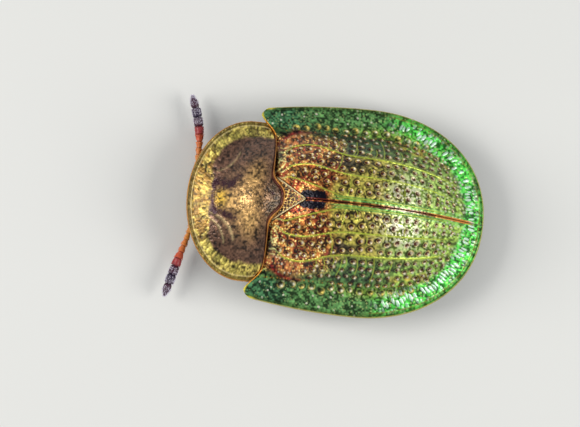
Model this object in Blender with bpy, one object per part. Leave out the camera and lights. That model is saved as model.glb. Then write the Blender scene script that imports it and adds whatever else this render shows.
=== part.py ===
"""A tortoise beetle standing still, life size, as solid pieces.

The head points along -Y, the back is up (+Z) and the floor is at z = 0. The sizes
below are in millimetres. Each piece is drawn in millimetres about the body's own
origin, which lies on the midline where the wing cases are widest, and is brought to
metres when it becomes an object. At the end the whole animal is set with the middle
of its base on the world's origin. "left" is the animal's own left, on the +X side.
"""

import math

import bmesh
import bpy
from mathutils import Matrix, Vector

MM = 0.001
GAP = 0.2

# The outline seen from above
BODY_LENGTH = 8.0
TAIL_Y = 3.33
HEAD_END_Y = TAIL_Y - BODY_LENGTH
HALF_WIDTH = 2.82
SHOULDER_TAPER = 0.045
SHOULDER_X = 2.46
SHOULDER_START_X = 1.75
SHOULDER_REACH = 0.55
TAIL_CUT_X = 0.50
TAIL_POWER = 2.15

# The wing cases: a brim all round a steep dome
RIM_TOP_Z = 0.88
CREST_Z = 3.12
CREST_Y = -1.0
DOME_FOOT_Z = 1.22
DOME_HALF_WIDTH = 2.0
DOME_TAIL_Y = 2.95
DOME_POWER = 2.4
DOME_BASE_NARROWING = 0.30
FRONT_FALL = 0.45
REAR_FALL = 0.03
BRIM_RISE = 1.2
BLEND = 0.15
SHELL = 0.50
RIM_SHELL = 0.32
RIM_TAPER = 0.35
STEEPEST = 1.5

# The three ridges of each wing case and the rows of pits between them
FIRST_RIDGE_X = 0.20
FIRST_RIDGE_SPREAD = 0.31
SECOND_RIDGE_X = 0.75
SECOND_RIDGE_SWELL = 0.22
THIRD_RIDGE_X = 1.31
THIRD_RIDGE_SWELL = 0.26
SWELL_Y = -1.5
SWELL_WIDTH = 0.72
RIDGE_HEIGHT = 0.09
PIT_DEPTH = 0.06
CROSS_RIDGE_HEIGHT = 0.05
FADE_START_Y = 1.9
FADE_LENGTH = 0.9
CASE_ROWS = 42
ROW_CROWDING = 0.2

# The neck shield
SHIELD_MID_Y = -3.05
SHIELD_HALF_WIDTH = 2.17
SHIELD_REAR_REACH = 0.60
SHIELD_CORNER_POWER = 5.0
SHIELD_LOBE = 0.37
SHIELD_LOBE_WIDTH = 0.50
SHIELD_SIDE_Z = 0.95
SHIELD_FRONT_Z = 1.30
SHIELD_BRIM_RISE = 1.0
SHIELD_DOME_Z = 1.17
SHIELD_DOME_RISE = 1.24
SHIELD_DOME_Y = -2.60
SHIELD_DOME_REACH = 1.45
SHIELD_DOME_HALF_WIDTH = 1.75
SHIELD_BACK_SLOPE = 0.40
SHIELD_BLEND = 0.28
SHIELD_GROOVE = 0.05
SHIELD_SIDES = 48

# The small plate between the bases of the wing cases
SCUTELLUM_FRONT_Y = SHIELD_MID_Y + SHIELD_REAR_REACH + SHIELD_LOBE + GAP
SCUTELLUM_TIP_Y = -1.48
SCUTELLUM_NOTCH_Y = -1.40
SCUTELLUM_HALF_WIDTH = 0.42

# The trunk under the shells
BELLY_Z = 1.05
TRUNK_HALF_WIDTH = 1.38
TRUNK_SIDE = 0.16
TRUNK_TOP_Z = 2.05
ROOF_GAP = 0.26
PROTHORAX_Y = (-3.06, -2.42)
THORAX_Y = (-2.14, -0.25)
ABDOMEN_Y = (-0.05, 2.15)
TAIL_DROP = 0.25
BELLY_CURVE = 0.18
STERNITES = 5
STERNITE_GROOVE = 0.06

# The head and what it carries
HEAD_CENTRE = Vector((0.0, -3.72, 0.55))
HEAD_RADII = Vector((0.72, 0.46, 0.34))
MUZZLE_OFFSET = Vector((0.0, -0.28, -0.10))
MUZZLE_RADII = Vector((0.30, 0.24, 0.21))
EYE_OFFSET = Vector((0.80, -0.02, 0.0))
EYE_RADII = Vector((0.22, 0.25, 0.23))

# The feelers: eleven joints, slender near the head and thick over the last five. A turn
# is counted in degrees from straight ahead, and the left feeler bears forward sooner
FEELER_ROOT_TURN = 25
FEELER_Z = 0.46
FEELER_JOINTS = (0.24, 0.18, 0.19, 0.18, 0.18, 0.18, 0.19, 0.22, 0.25, 0.26, 0.38)
FEELER_TURNS = {
    1: (25, 84, 82, 76, 73, 73, 74, 75, 75, 75, 76),
    -1: (25, 86, 90, 91, 90, 87, 84, 81, 76, 72, 68),
}
FEELER_RADIUS = 0.25
FEELER_CLUB_RADIUS = 0.27
FEELER_CLUB_START = 6
FEELER_WAIST = 0.84
FEELER_TIP = 0.10
FEELER_OVERLAP = 0.05
FEELER_SIDES = 10

# The legs: hip, knee, ankle and toe of each on the left side
LEGS = {
    "front": ((0.52, -2.72, 0.60), (1.20, -3.15, 0.42), (1.48, -3.40, 0.25), (1.52, -3.72, 0.16)),
    "middle": ((0.62, -1.62, 0.60), (1.33, -1.78, 0.42), (1.69, -1.72, 0.24), (2.02, -1.56, 0.16)),
    "hind": ((0.66, -0.72, 0.60), (1.36, -0.10, 0.45), (1.68, 0.28, 0.26), (1.86, 0.62, 0.16)),
}
HIP_RADIUS = 0.30
HIP_TOP_Z = BELLY_Z - GAP
THIGH_RADIUS = 0.27
KNEE_RADIUS = 0.25
SHIN_RADIUS = 0.23
FOOT_LOBES = 3
FOOT_RADII = Vector((0.25, 0.25, 0.20))
FOOT_Z = 0.15
CLAW_SPREAD = 0.09
CLAW_Z = (0.15, 0.06)
CLAW_RADII = (0.09, 0.03)
CLAW_LENGTH = 0.30

# (colour, roughness, metallic)
FINISHES = {
    "wing_case": ((0.16, 0.27, 0.07, 1.0), 0.28, 0.35),
    "shield": ((0.30, 0.21, 0.08, 1.0), 0.32, 0.45),
    "scutellum": ((0.32, 0.17, 0.06, 1.0), 0.35, 0.35),
    "belly": ((0.12, 0.08, 0.03, 1.0), 0.45, 0.0),
    "head": ((0.30, 0.16, 0.05, 1.0), 0.45, 0.0),
    "eye": ((0.02, 0.015, 0.015, 1.0), 0.20, 0.0),
    "feeler": ((0.52, 0.18, 0.05, 1.0), 0.50, 0.0),
    "leg": ((0.45, 0.26, 0.07, 1.0), 0.45, 0.0),
}
SMOOTH_ANGLE = 40


def smooth_step(value):
    t = max(0.0, min(1.0, value))
    return t * t * (3.0 - 2.0 * t)


def bell(value, centre, width):
    return math.exp(-(((value - centre) / width) ** 2))


def soft_max(a, b, blend):
    """The larger of two heights, rounded off where they cross."""
    return 0.5 * (a + b + math.sqrt((a - b) ** 2 + blend**2))


def steepness(height, x, y):
    """How much taller than its thickness a sloping layer stands at this place."""
    step = 0.02
    across = (height(x + step, y) - height(x - step, y)) / (2 * step)
    along = (height(x, y + step) - height(x, y - step)) / (2 * step)
    return math.sqrt(1.0 + across**2 + along**2)


# Closed sheets, rods and balls

def slab(rows, columns, top, under):
    """A flat grid made into a closed sheet, with a formula for each of its sides."""
    shape = bmesh.new()
    bmesh.ops.create_grid(shape, x_segments=columns, y_segments=rows, size=1.0)
    grown = bmesh.ops.extrude_face_region(shape, geom=shape.faces[:])["geom"]
    upper = {thing for thing in grown if isinstance(thing, bmesh.types.BMVert)}
    for vert in shape.verts:
        i = round((vert.co.y + 1.0) / 2.0 * rows)
        j = round((vert.co.x + 1.0) / 2.0 * columns)
        vert.co = top(i, j) if vert in upper else under(i, j)
    bmesh.ops.triangulate(shape, faces=shape.faces)
    bmesh.ops.recalc_face_normals(shape, faces=shape.faces)
    return shape


def placed(shape, centre, scale, turn=None):
    matrix = Matrix.Translation(centre)
    if turn is not None:
        matrix = matrix @ turn.to_matrix().to_4x4()
    matrix = matrix @ Matrix.Diagonal((*scale, 1.0))
    bmesh.ops.transform(shape, matrix=matrix, verts=shape.verts)
    return shape


def ball(centre, radii, segments=10, rings=7):
    shape = bmesh.new()
    bmesh.ops.create_uvsphere(shape, u_segments=segments, v_segments=rings, radius=1.0)
    return placed(shape, centre, radii)


def rod(start, end, start_radius, end_radius, sides=8):
    """A straight tapered length with flat ends."""
    along = end - start
    shape = bmesh.new()
    bmesh.ops.create_cone(
        shape,
        cap_ends=True,
        segments=sides,
        radius1=start_radius,
        radius2=end_radius,
        depth=along.length,
    )
    return placed(shape, (start + end) / 2, (1, 1, 1), along.to_track_quat("Z", "Y"))


def block(low, high):
    shape = bmesh.new()
    bmesh.ops.create_cube(shape, size=1.0)
    return placed(shape, (low + high) / 2, high - low)


def mirrored(shape):
    """The like shape on the animal's other side."""
    other = shape.copy()
    bmesh.ops.scale(other, vec=(-1.0, 1.0, 1.0), verts=other.verts)
    bmesh.ops.reverse_faces(other, faces=other.faces)
    return other


def temporary(shape, collection):
    mesh = bpy.data.meshes.new("piece")
    shape.to_mesh(mesh)
    shape.free()
    made = bpy.data.objects.new("piece", mesh)
    collection.objects.link(made)
    return made


def fuse(shapes, cutters=()):
    """The shapes joined by one Boolean union, less the cutters, as one closed body."""
    scene = bpy.context.scene.collection
    joined = bpy.data.collections.new("to_join")
    removed = bpy.data.collections.new("to_remove")
    scene.children.link(joined)
    scene.children.link(removed)
    base = temporary(shapes[0], scene)
    for shape in shapes[1:]:
        temporary(shape, joined)
    for shape in cutters:
        temporary(shape, removed)
    for operation, operands in (("UNION", joined), ("DIFFERENCE", removed)):
        if operands.objects:
            step = base.modifiers.new(operation, "BOOLEAN")
            step.operation = operation
            step.operand_type = "COLLECTION"
            step.collection = operands
            step.solver = "EXACT"
    graph = bpy.context.evaluated_depsgraph_get()
    mesh = bpy.data.meshes.new_from_object(base.evaluated_get(graph))
    for collection in (joined, removed):
        for thing in list(collection.objects):
            bpy.data.objects.remove(thing)
        bpy.data.collections.remove(collection)
    bpy.data.objects.remove(base)
    shape = bmesh.new()
    shape.from_mesh(mesh)
    bmesh.ops.remove_doubles(shape, verts=shape.verts, dist=0.0001)
    bmesh.ops.triangulate(shape, faces=shape.faces)
    keep_largest(shape)
    return shape


def keep_largest(shape):
    """Drops every closed surface but the one with the largest area."""
    left = set(shape.faces)
    surfaces = []
    while left:
        found, queue = [], [left.pop()]
        while queue:
            face = queue.pop()
            found.append(face)
            near = {other for edge in face.edges for other in edge.link_faces} & left
            left -= near
            queue.extend(near)
        surfaces.append(found)
    surfaces.sort(key=lambda faces: sum(face.calc_area() for face in faces))
    for surface in surfaces[:-1]:
        bmesh.ops.delete(shape, geom=surface, context="FACES")


# Wing cases

def case_half_width(y):
    """Half the width of both wing cases together at this station."""
    if y > 0.0:
        return HALF_WIDTH * max(0.0, 1.0 - (y / TAIL_Y) ** TAIL_POWER) ** (1.0 / TAIL_POWER)
    return HALF_WIDTH - SHOULDER_TAPER * y * y


def case_tail_y(x):
    """Where the rear outline lies at this distance from the midline."""
    return TAIL_Y * (1.0 - (x / HALF_WIDTH) ** TAIL_POWER) ** (1.0 / TAIL_POWER)


def shield_lobe(x):
    return SHIELD_LOBE * bell(x, 0.0, SHIELD_LOBE_WIDTH)


def case_base_y(x):
    """The front edge of a wing case, which wraps round the rear of the neck shield."""
    shoulder = max(0.0, (x - SHOULDER_START_X) / (SHOULDER_X - SHOULDER_START_X)) ** 1.5
    middle = SHIELD_MID_Y + SHIELD_REAR_REACH + GAP + shield_lobe(x)
    return middle - SHOULDER_REACH * shoulder


def brim_share(x, y):
    """0 on the midline and 1 on the outer rim."""
    if y > 0.0:
        total = (y / TAIL_Y) ** TAIL_POWER + (abs(x) / HALF_WIDTH) ** TAIL_POWER
        return total ** (1.0 / TAIL_POWER)
    return abs(x) / case_half_width(y)


def dome_share(x, y):
    """0 on the crest line and 1 where the dome meets the brim."""
    if y > 0.0:
        return math.hypot(y / DOME_TAIL_Y, x / DOME_HALF_WIDTH)
    narrowing = DOME_BASE_NARROWING * smooth_step((-1.2 - y) / 1.4)
    return abs(x) / (DOME_HALF_WIDTH - narrowing)


def case_height(x, y):
    """The smooth outer surface of the wing cases."""
    fall = FRONT_FALL if y < CREST_Y else REAR_FALL
    crest = CREST_Z - fall * (y - CREST_Y) ** 2
    dome = DOME_FOOT_Z + (crest - DOME_FOOT_Z) * (1.0 - dome_share(x, y) ** DOME_POWER)
    brim = RIM_TOP_Z + BRIM_RISE * (1.0 - brim_share(x, y))
    return soft_max(dome, brim, BLEND)


def shell_thickness(share):
    """Full over the dome and thinner out to the rim, where the share is 1."""
    return RIM_SHELL + (SHELL - RIM_SHELL) * smooth_step((1.0 - share) / RIM_TAPER)


def case_underside(x, y):
    thickness = shell_thickness(brim_share(x, y))
    return case_height(x, y) - thickness * min(STEEPEST, steepness(case_height, x, y))


def scutellum_half_width(y):
    share = (SCUTELLUM_NOTCH_Y - y) / (SCUTELLUM_NOTCH_Y - SCUTELLUM_FRONT_Y)
    return SCUTELLUM_HALF_WIDTH * max(0.0, min(1.15, share))


def inner_edge(y):
    """The edge beside the other wing case, which makes room for the scutellum."""
    return max(GAP / 2, scutellum_half_width(y - GAP) + GAP / 2)


def case_lines(y):
    """Distances from the midline of the inner edge, the three ridges, the foot of the
    dome and the rim."""
    scale = case_half_width(max(0.0, y)) / HALF_WIDTH
    swell = bell(y, SWELL_Y, SWELL_WIDTH)
    lines = [
        inner_edge(y),
        (FIRST_RIDGE_X + FIRST_RIDGE_SPREAD * max(0.0, -0.45 - y)) * scale,
        (SECOND_RIDGE_X + SECOND_RIDGE_SWELL * swell) * scale,
        (THIRD_RIDGE_X + THIRD_RIDGE_SWELL * swell) * scale,
        DOME_HALF_WIDTH * scale,
        case_half_width(y),
    ]
    for k in range(1, len(lines) - 1):
        lines[k] = max(lines[k], lines[k - 1] + 0.04)
    return lines


# How each strip between two lines is divided, from the midline outwards. A ridge stands
# up, and a pit is pressed in at every second row
STRIPS = (
    ("edge",),
    ("ridge", "pit", "plain", "pit"),
    ("ridge", "pit", "plain", "pit"),
    ("ridge", "pit", "plain", "pit"),
    ("plain", "pit", "plain"),
)

# Stations of the short ridges that cross a strip
CROSS_RIDGES = {1: (-0.40, 0.45, 0.95), 3: (-1.0, -0.55, -0.10)}


def case_columns(y):
    """(distance from the midline, what the column carries, strip) across a wing case."""
    lines = case_lines(y)
    columns = []
    for n, kinds in enumerate(STRIPS):
        for k, kind in enumerate(kinds):
            x = lines[n] + (lines[n + 1] - lines[n]) * k / len(kinds)
            columns.append((x, kind, n))
    return columns + [(lines[-1], "rim", len(STRIPS))]


def column_base(j, count):
    """Where column j starts on the front edge, found by stepping towards it."""
    x = SHOULDER_X * j / (count - 1)
    for _ in range(8):
        x = case_columns(case_base_y(x))[j][0]
    return case_base_y(x)


def relief(i, y, kind, strip):
    """How far a point of the grid stands out of the smooth surface."""
    fade = 1.0 - smooth_step((y - FADE_START_Y) / FADE_LENGTH)
    ends = smooth_step(min(i, CASE_ROWS - i) / 2.0)
    if kind == "ridge":
        return RIDGE_HEIGHT * fade * ends
    if any(abs(y - station) < 0.07 for station in CROSS_RIDGES.get(strip, ())):
        return CROSS_RIDGE_HEIGHT
    if kind == "pit" and i % 2:
        return -PIT_DEPTH * max(fade, 0.4) * ends
    return 0.0


def wing_case():
    """The left one. Rows run from the midline to the rim, from the base to the tail."""
    tail_row_y = case_tail_y(TAIL_CUT_X)
    tail_columns = case_columns(tail_row_y)
    last = len(tail_columns) - 1
    bases = [column_base(j, last + 1) for j in range(last + 1)]

    def station(i, j):
        t = i / CASE_ROWS
        along = t * (1.0 + ROW_CROWDING) - ROW_CROWDING * t * t
        y = bases[j] + (case_tail_y(tail_columns[j][0]) - bases[j]) * along
        return (y, *case_columns(min(y, tail_row_y))[j])

    def top(i, j):
        y, x, kind, strip = station(i, j)
        return x, y, case_height(x, y) + relief(i, y, kind, strip)

    def under(i, j):
        y, x = station(i, j)[:2]
        return x, y, case_underside(x, y)

    return slab(CASE_ROWS, last, top, under)


# Neck shield

def shield_edge(angle):
    """A point of the outline: half an ellipse in front, and behind a curve with square
    corners and a lobe in the middle."""
    across, along = math.cos(angle), math.sin(angle)
    x = SHIELD_HALF_WIDTH * across
    if along <= 0.0:
        return Vector((x, SHIELD_MID_Y + (SHIELD_MID_Y - HEAD_END_Y) * along))
    square = max(0.0, 1.0 - abs(across) ** SHIELD_CORNER_POWER) ** (1.0 / SHIELD_CORNER_POWER)
    return Vector((x, SHIELD_MID_Y + SHIELD_REAR_REACH * square + shield_lobe(x)))


def shield_share(x, y):
    """0 over the middle and 1 on the front and side rims."""
    ahead = max(0.0, (SHIELD_MID_Y - y) / (SHIELD_MID_Y - HEAD_END_Y))
    return math.hypot(x / SHIELD_HALF_WIDTH, ahead)


def shield_height(x, y):
    """The smooth outer surface of the neck shield, domed behind and flat in front."""
    ahead = max(0.0, (SHIELD_MID_Y - y) / (SHIELD_MID_Y - HEAD_END_Y))
    rim = SHIELD_SIDE_Z + (SHIELD_FRONT_Z - SHIELD_SIDE_Z) * ahead**1.5
    brim = rim + SHIELD_BRIM_RISE * max(0.0, 1.0 - shield_share(x, y))
    forward = max(0.0, (SHIELD_DOME_Y - y) / SHIELD_DOME_REACH)
    share = math.hypot(forward, x / SHIELD_DOME_HALF_WIDTH)
    rise = SHIELD_DOME_RISE + SHIELD_BACK_SLOPE * max(0.0, y - SHIELD_DOME_Y)
    dome = SHIELD_DOME_Z + rise * (1.0 - share**2)
    return soft_max(dome, brim, SHIELD_BLEND)


def shield_underside(x, y):
    thickness = shell_thickness(shield_share(x, y))
    return shield_height(x, y) - thickness * min(STEEPEST, steepness(shield_height, x, y))


# How far out each ring of the shield lies; the third is sunk, so the rim stands up
SHIELD_RINGS = (1.0, 0.965, 0.92, 0.82, 0.67, 0.48, 0.25)
SUNK_RING = 2


def neck_shield():
    """A ball pressed to the outline, with like rings of points above and below."""
    rings = len(SHIELD_RINGS)
    middle = Vector((0.0, SHIELD_DOME_Y - 0.35))
    shape = bmesh.new()
    bmesh.ops.create_uvsphere(
        shape, u_segments=SHIELD_SIDES, v_segments=2 * rings + 1, radius=1.0
    )
    for vert in shape.verts:
        tilt = abs(math.asin(max(-1.0, min(1.0, vert.co.z)))) / math.pi
        ring = round(tilt * (2 * rings + 1) - 0.5)
        share = 0.0 if ring >= rings else SHIELD_RINGS[ring]
        edge = shield_edge(math.atan2(vert.co.y, vert.co.x))
        x, y = middle + (edge - middle) * share
        if vert.co.z > 0.0:
            groove = SHIELD_GROOVE if ring == SUNK_RING else 0.0
            vert.co = (x, y, shield_height(x, y) - groove)
        else:
            vert.co = (x, y, shield_underside(x, y))
    bmesh.ops.triangulate(shape, faces=shape.faces)
    bmesh.ops.recalc_face_normals(shape, faces=shape.faces)
    return shape


def scutellum():
    """A small triangular plate, level with the wing cases on either side of it."""
    rows, columns = 4, 4

    def place(i, j):
        y = SCUTELLUM_FRONT_Y + (SCUTELLUM_TIP_Y - SCUTELLUM_FRONT_Y) * i / rows
        return scutellum_half_width(y) * (2.0 * j / columns - 1.0), y

    def top(i, j):
        x, y = place(i, j)
        return x, y, case_height(x, y) + 0.03

    def under(i, j):
        x, y = place(i, j)
        return x, y, case_height(0.0, y) - SHELL

    return slab(rows, columns, top, under)


# Trunk

def trunk_roof(x, y):
    """The highest that the trunk may reach, a gap below the shell over it."""
    if y < SHIELD_MID_Y + SHIELD_REAR_REACH + GAP:
        roof = shield_underside(x, y) - ROOF_GAP * steepness(shield_height, x, y)
    else:
        roof = case_underside(x, y) - ROOF_GAP * steepness(case_height, x, y)
    return min(roof, TRUNK_TOP_Z)


def belly_edge_z(y):
    """The height of the belly's side edges, which sink with it towards the tail."""
    return BELLY_Z + BELLY_CURVE - TAIL_DROP * smooth_step((y - 0.8) / 1.5)


def trunk_half_width(y):
    """Narrower at the neck, and never wider than the room under the shells."""
    half = TRUNK_HALF_WIDTH - 0.35 * smooth_step((-2.0 - y) / 1.0)
    while half > 0.1 and trunk_roof(half, y) < belly_edge_z(y) + TRUNK_SIDE:
        half -= 0.01
    return half


def trunk_piece(y_range, rows, columns=10, plates=1):
    """A length of the trunk, with a groove between one belly plate and the next."""
    start, end = y_range
    joints = [start + (end - start) * k / plates for k in range(1, plates)]

    def place(i, j):
        y = start + (end - start) * i / rows
        share = 2.0 * j / columns - 1.0
        return share, trunk_half_width(y) * share, y

    def top(i, j):
        share, x, y = place(i, j)
        return x, y, trunk_roof(x, y)

    def under(i, j):
        share, x, y = place(i, j)
        groove = STERNITE_GROOVE * sum(bell(y, joint, 0.07) for joint in joints)
        return x, y, belly_edge_z(y) - BELLY_CURVE * (1.0 - abs(share) ** 3) + groove

    return slab(rows, columns, top, under)


# Head, eyes and feelers

def to_side(place, side):
    return Vector((side * place[0], place[1], place[2]))


def eye_centre(side):
    return to_side(HEAD_CENTRE + EYE_OFFSET, side)


def head():
    """A skull with a short muzzle, hollowed at the sides for the eyes."""
    room = Vector((GAP, GAP, GAP))
    sockets = [ball(eye_centre(side), EYE_RADII + room, 14, 9) for side in (1, -1)]
    skull = ball(HEAD_CENTRE, HEAD_RADII, 18, 11)
    muzzle = ball(HEAD_CENTRE + MUZZLE_OFFSET, MUZZLE_RADII, 12, 8)
    return fuse([skull, muzzle], sockets)


def bearing(turn):
    angle = math.radians(turn)
    return Vector((math.sin(angle), -math.cos(angle), 0.0))


def feeler_root():
    """A gap in front of the skull, where its surface faces along the first joint."""
    out = bearing(FEELER_ROOT_TURN)
    pull = Vector((HEAD_RADII.x**2 * out.x, HEAD_RADII.y**2 * out.y, 0.0))
    reach = math.hypot(HEAD_RADII.x * out.x, HEAD_RADII.y * out.y)
    root = HEAD_CENTRE + pull / reach + out * GAP
    return Vector((root.x, root.y, FEELER_Z))


def feeler(side):
    """Each joint is a short cone, wider at its far end and sunk into the one before."""
    start = feeler_root()
    last = len(FEELER_JOINTS) - 1
    cones = []
    for k, (length, turn) in enumerate(zip(FEELER_JOINTS, FEELER_TURNS[side])):
        out = bearing(turn)
        wide = FEELER_CLUB_RADIUS if k >= FEELER_CLUB_START else FEELER_RADIUS
        near, far = wide * FEELER_WAIST, wide
        if k == last:
            near, far = wide, FEELER_TIP
        sunk = start - out * (FEELER_OVERLAP if k else 0.0)
        end = start + out * length
        cones.append(rod(to_side(sunk, side), to_side(end, side), near, far, FEELER_SIDES))
        start = end
    return fuse(cones)


# Legs

def leg(joints):
    """Hip, thigh, shin, a foot of three lobes and two claws, cut flat under the foot."""
    hip, knee, ankle, toe = (Vector(joint) for joint in joints)
    pieces = [
        ball(hip, (HIP_RADIUS,) * 3),
        rod(hip, knee, THIGH_RADIUS, KNEE_RADIUS * 0.96),
        ball(hip.lerp(knee, 0.5), (THIGH_RADIUS * 1.06,) * 3),
        ball(knee, (KNEE_RADIUS,) * 3),
        rod(knee, ankle, SHIN_RADIUS, SHIN_RADIUS),
    ]
    for k in range(FOOT_LOBES):
        lobe = ankle.lerp(toe, k / (FOOT_LOBES - 1))
        lobe.z = FOOT_Z
        pieces.append(ball(lobe, FOOT_RADII))
    ahead = (toe - ankle) * Vector((1.0, 1.0, 0.0))
    ahead.normalize()
    aside = Vector((-ahead.y, ahead.x, 0.0)) * CLAW_SPREAD
    for hand in (1, -1):
        root = Vector((toe.x, toe.y, CLAW_Z[0])) + aside * hand
        tip = Vector((toe.x, toe.y, CLAW_Z[1])) + aside * hand * 1.5 + ahead * CLAW_LENGTH
        pieces.append(rod(root, tip, *CLAW_RADII, 6))
    reach = BODY_LENGTH
    below = block(Vector((-reach, -reach, -1.0)), Vector((reach, reach, 0.0)))
    above = block(Vector((-reach, -reach, HIP_TOP_Z)), Vector((reach, reach, CREST_Z)))
    return fuse(pieces, [below, above])


# Scene

def clear_scene():
    for thing in list(bpy.data.objects):
        bpy.data.objects.remove(thing)


def make_material(name, colour, roughness, metallic):
    made = bpy.data.materials.new(name)
    made.use_nodes = True
    shader = made.node_tree.nodes["Principled BSDF"]
    shader.inputs["Base Color"].default_value = colour
    shader.inputs["Roughness"].default_value = roughness
    shader.inputs["Metallic"].default_value = metallic
    return made


def bounds(points):
    points = list(points)
    low = Vector(min(p[k] for p in points) for k in range(3))
    high = Vector(max(p[k] for p in points) for k in range(3))
    return low, high


def add_part(name, shape, material, collection):
    """Turns a drawn shape into an object in metres, with its origin at its middle."""
    bmesh.ops.transform(shape, matrix=Matrix.Scale(MM, 4), verts=shape.verts)
    low, high = bounds(vert.co for vert in shape.verts)
    middle = (low + high) / 2
    bmesh.ops.translate(shape, vec=-middle, verts=shape.verts)
    mesh = bpy.data.meshes.new(name)
    shape.to_mesh(mesh)
    shape.free()
    mesh.materials.append(material)
    mesh.shade_smooth()
    mesh.set_sharp_from_angle(angle=math.radians(SMOOTH_ANGLE))
    made = bpy.data.objects.new(name, mesh)
    made.location = middle
    collection.objects.link(made)


def centre_on_floor(collection):
    """Moves the animal so that the middle of its base is the world's origin."""
    low, high = bounds(
        thing.location + vert.co for thing in collection.objects for vert in thing.data.vertices
    )
    for thing in collection.objects:
        thing.location -= Vector(((low.x + high.x) / 2, (low.y + high.y) / 2, low.z))


def build():
    clear_scene()
    beetle = bpy.data.collections.new("tortoise_beetle")
    bpy.context.scene.collection.children.link(beetle)
    finish = {name: make_material(name, *values) for name, values in FINISHES.items()}

    add_part("pronotum", neck_shield(), finish["shield"], beetle)
    add_part("scutellum", scutellum(), finish["scutellum"], beetle)
    add_part("prothorax", trunk_piece(PROTHORAX_Y, 4), finish["belly"], beetle)
    add_part("thorax", trunk_piece(THORAX_Y, 8), finish["belly"], beetle)
    abdomen = trunk_piece(ABDOMEN_Y, 20, plates=STERNITES)
    add_part("abdomen", abdomen, finish["belly"], beetle)
    add_part("head", head(), finish["head"], beetle)
    paired = {"elytron": (wing_case(), "wing_case")}
    paired["eye"] = (ball(eye_centre(1), EYE_RADII, 14, 9), "eye")
    for which, joints in LEGS.items():
        paired[f"leg_{which}"] = (leg(joints), "leg")
    for name, (shape, slot) in paired.items():
        add_part(f"{name}_right", mirrored(shape), finish[slot], beetle)
        add_part(f"{name}_left", shape, finish[slot], beetle)
    add_part("antenna_left", feeler(1), finish["feeler"], beetle)
    add_part("antenna_right", feeler(-1), finish["feeler"], beetle)
    centre_on_floor(beetle)


build()
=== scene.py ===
"""The looks of a tortoise beetle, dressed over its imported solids.

Shapes are worked out in millimetres about the body's own origin, which lies on the
midline where the wing cases are widest: x to the animal's left, y to its tail, and z up
from the floor. They come to metres, in the solids' frame, when they become objects.
"""

import math

import bmesh
import bpy
import numpy as np
from mathutils import Matrix, Vector


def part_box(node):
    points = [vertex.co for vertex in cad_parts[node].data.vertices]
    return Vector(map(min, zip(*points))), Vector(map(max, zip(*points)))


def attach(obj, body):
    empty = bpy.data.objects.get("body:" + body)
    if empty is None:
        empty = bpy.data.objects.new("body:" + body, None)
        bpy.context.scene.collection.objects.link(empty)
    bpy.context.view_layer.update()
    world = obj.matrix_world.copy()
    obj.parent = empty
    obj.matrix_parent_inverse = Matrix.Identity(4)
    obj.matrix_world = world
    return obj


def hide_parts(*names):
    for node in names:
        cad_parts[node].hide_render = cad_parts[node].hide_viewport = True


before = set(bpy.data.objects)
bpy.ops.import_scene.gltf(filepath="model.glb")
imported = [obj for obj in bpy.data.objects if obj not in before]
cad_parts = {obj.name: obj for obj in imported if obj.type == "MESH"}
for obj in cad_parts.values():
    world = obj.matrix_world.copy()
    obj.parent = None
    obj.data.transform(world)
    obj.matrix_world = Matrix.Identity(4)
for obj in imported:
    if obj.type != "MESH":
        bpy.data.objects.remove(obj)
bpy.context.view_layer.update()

MM = 0.001

# The outline seen from above
TAIL_Y = 3.328
TAIL_POWER = 2.15
HEAD_END_Y = -4.67
HALF_WIDTH = 2.82
SHOULDER_TAPER = 0.031
SHOULDER_X = 2.42
SHOULDER_LEAVES_X = 1.78
SHOULDER_RISE = 0.42
BASE_OVERLAP = 0.16
SHOULDER_OVERLAP = 0.05
BASE_DROP = 0.10
TAIL_CUT_X = 0.50
TO_ROW = Vector((0.0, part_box("pronotum")[0].y / MM - HEAD_END_Y, 0.0))

# The wing cases: a brim all round a steep dome
RIM_TOP_Z = 0.88
CREST_Z = 3.12
CREST_Y = -1.0
DOME_FOOT_Z = 1.22
DOME_HALF_WIDTH = 2.0
DOME_TAIL_Y = 2.95
DOME_POWER = 2.4
DOME_BASE_NARROWING = 0.30
FRONT_FALL = 0.45
REAR_FALL = 0.03
BRIM_RISE = 1.2
BLEND = 0.15
CASE_RIM_THICKNESS = 0.09
CASE_THICKNESS = 0.20
STEEPEST = 1.5
SEAM = 0.003
MEAN_RADIUS = 3.05

# Distances from an edge of the points nearest to it, and one that counts as far from it
EDGE_STEPS = (0.0, 0.002, 0.006, 0.013, 0.024)
FAR = 9.0

CASE_ROWS = 420
CASE_COLUMNS = 195
UNDERSIDE_STEP = 4

# Lanes count from the seam outwards and bend with the ridges: the second ridge, the third
# ridge, the foot of the dome and the rim each keep their own lane all the way back
LANES = (0.0, 0.75, 1.31, 2.0, 2.82)
SWELL_Y = -1.5
SWELL_WIDTH = 0.72
SECOND_RIDGE_SWELL = 0.22
THIRD_RIDGE_SWELL = 0.26
RIDGE_HEIGHT = 0.045
RIDGE_WIDTH = 0.021
CROSS_RIDGE_HEIGHT = 0.026
CROSS_RIDGE_WIDTH = 0.015
CORNER_RADIUS = 0.24

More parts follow.
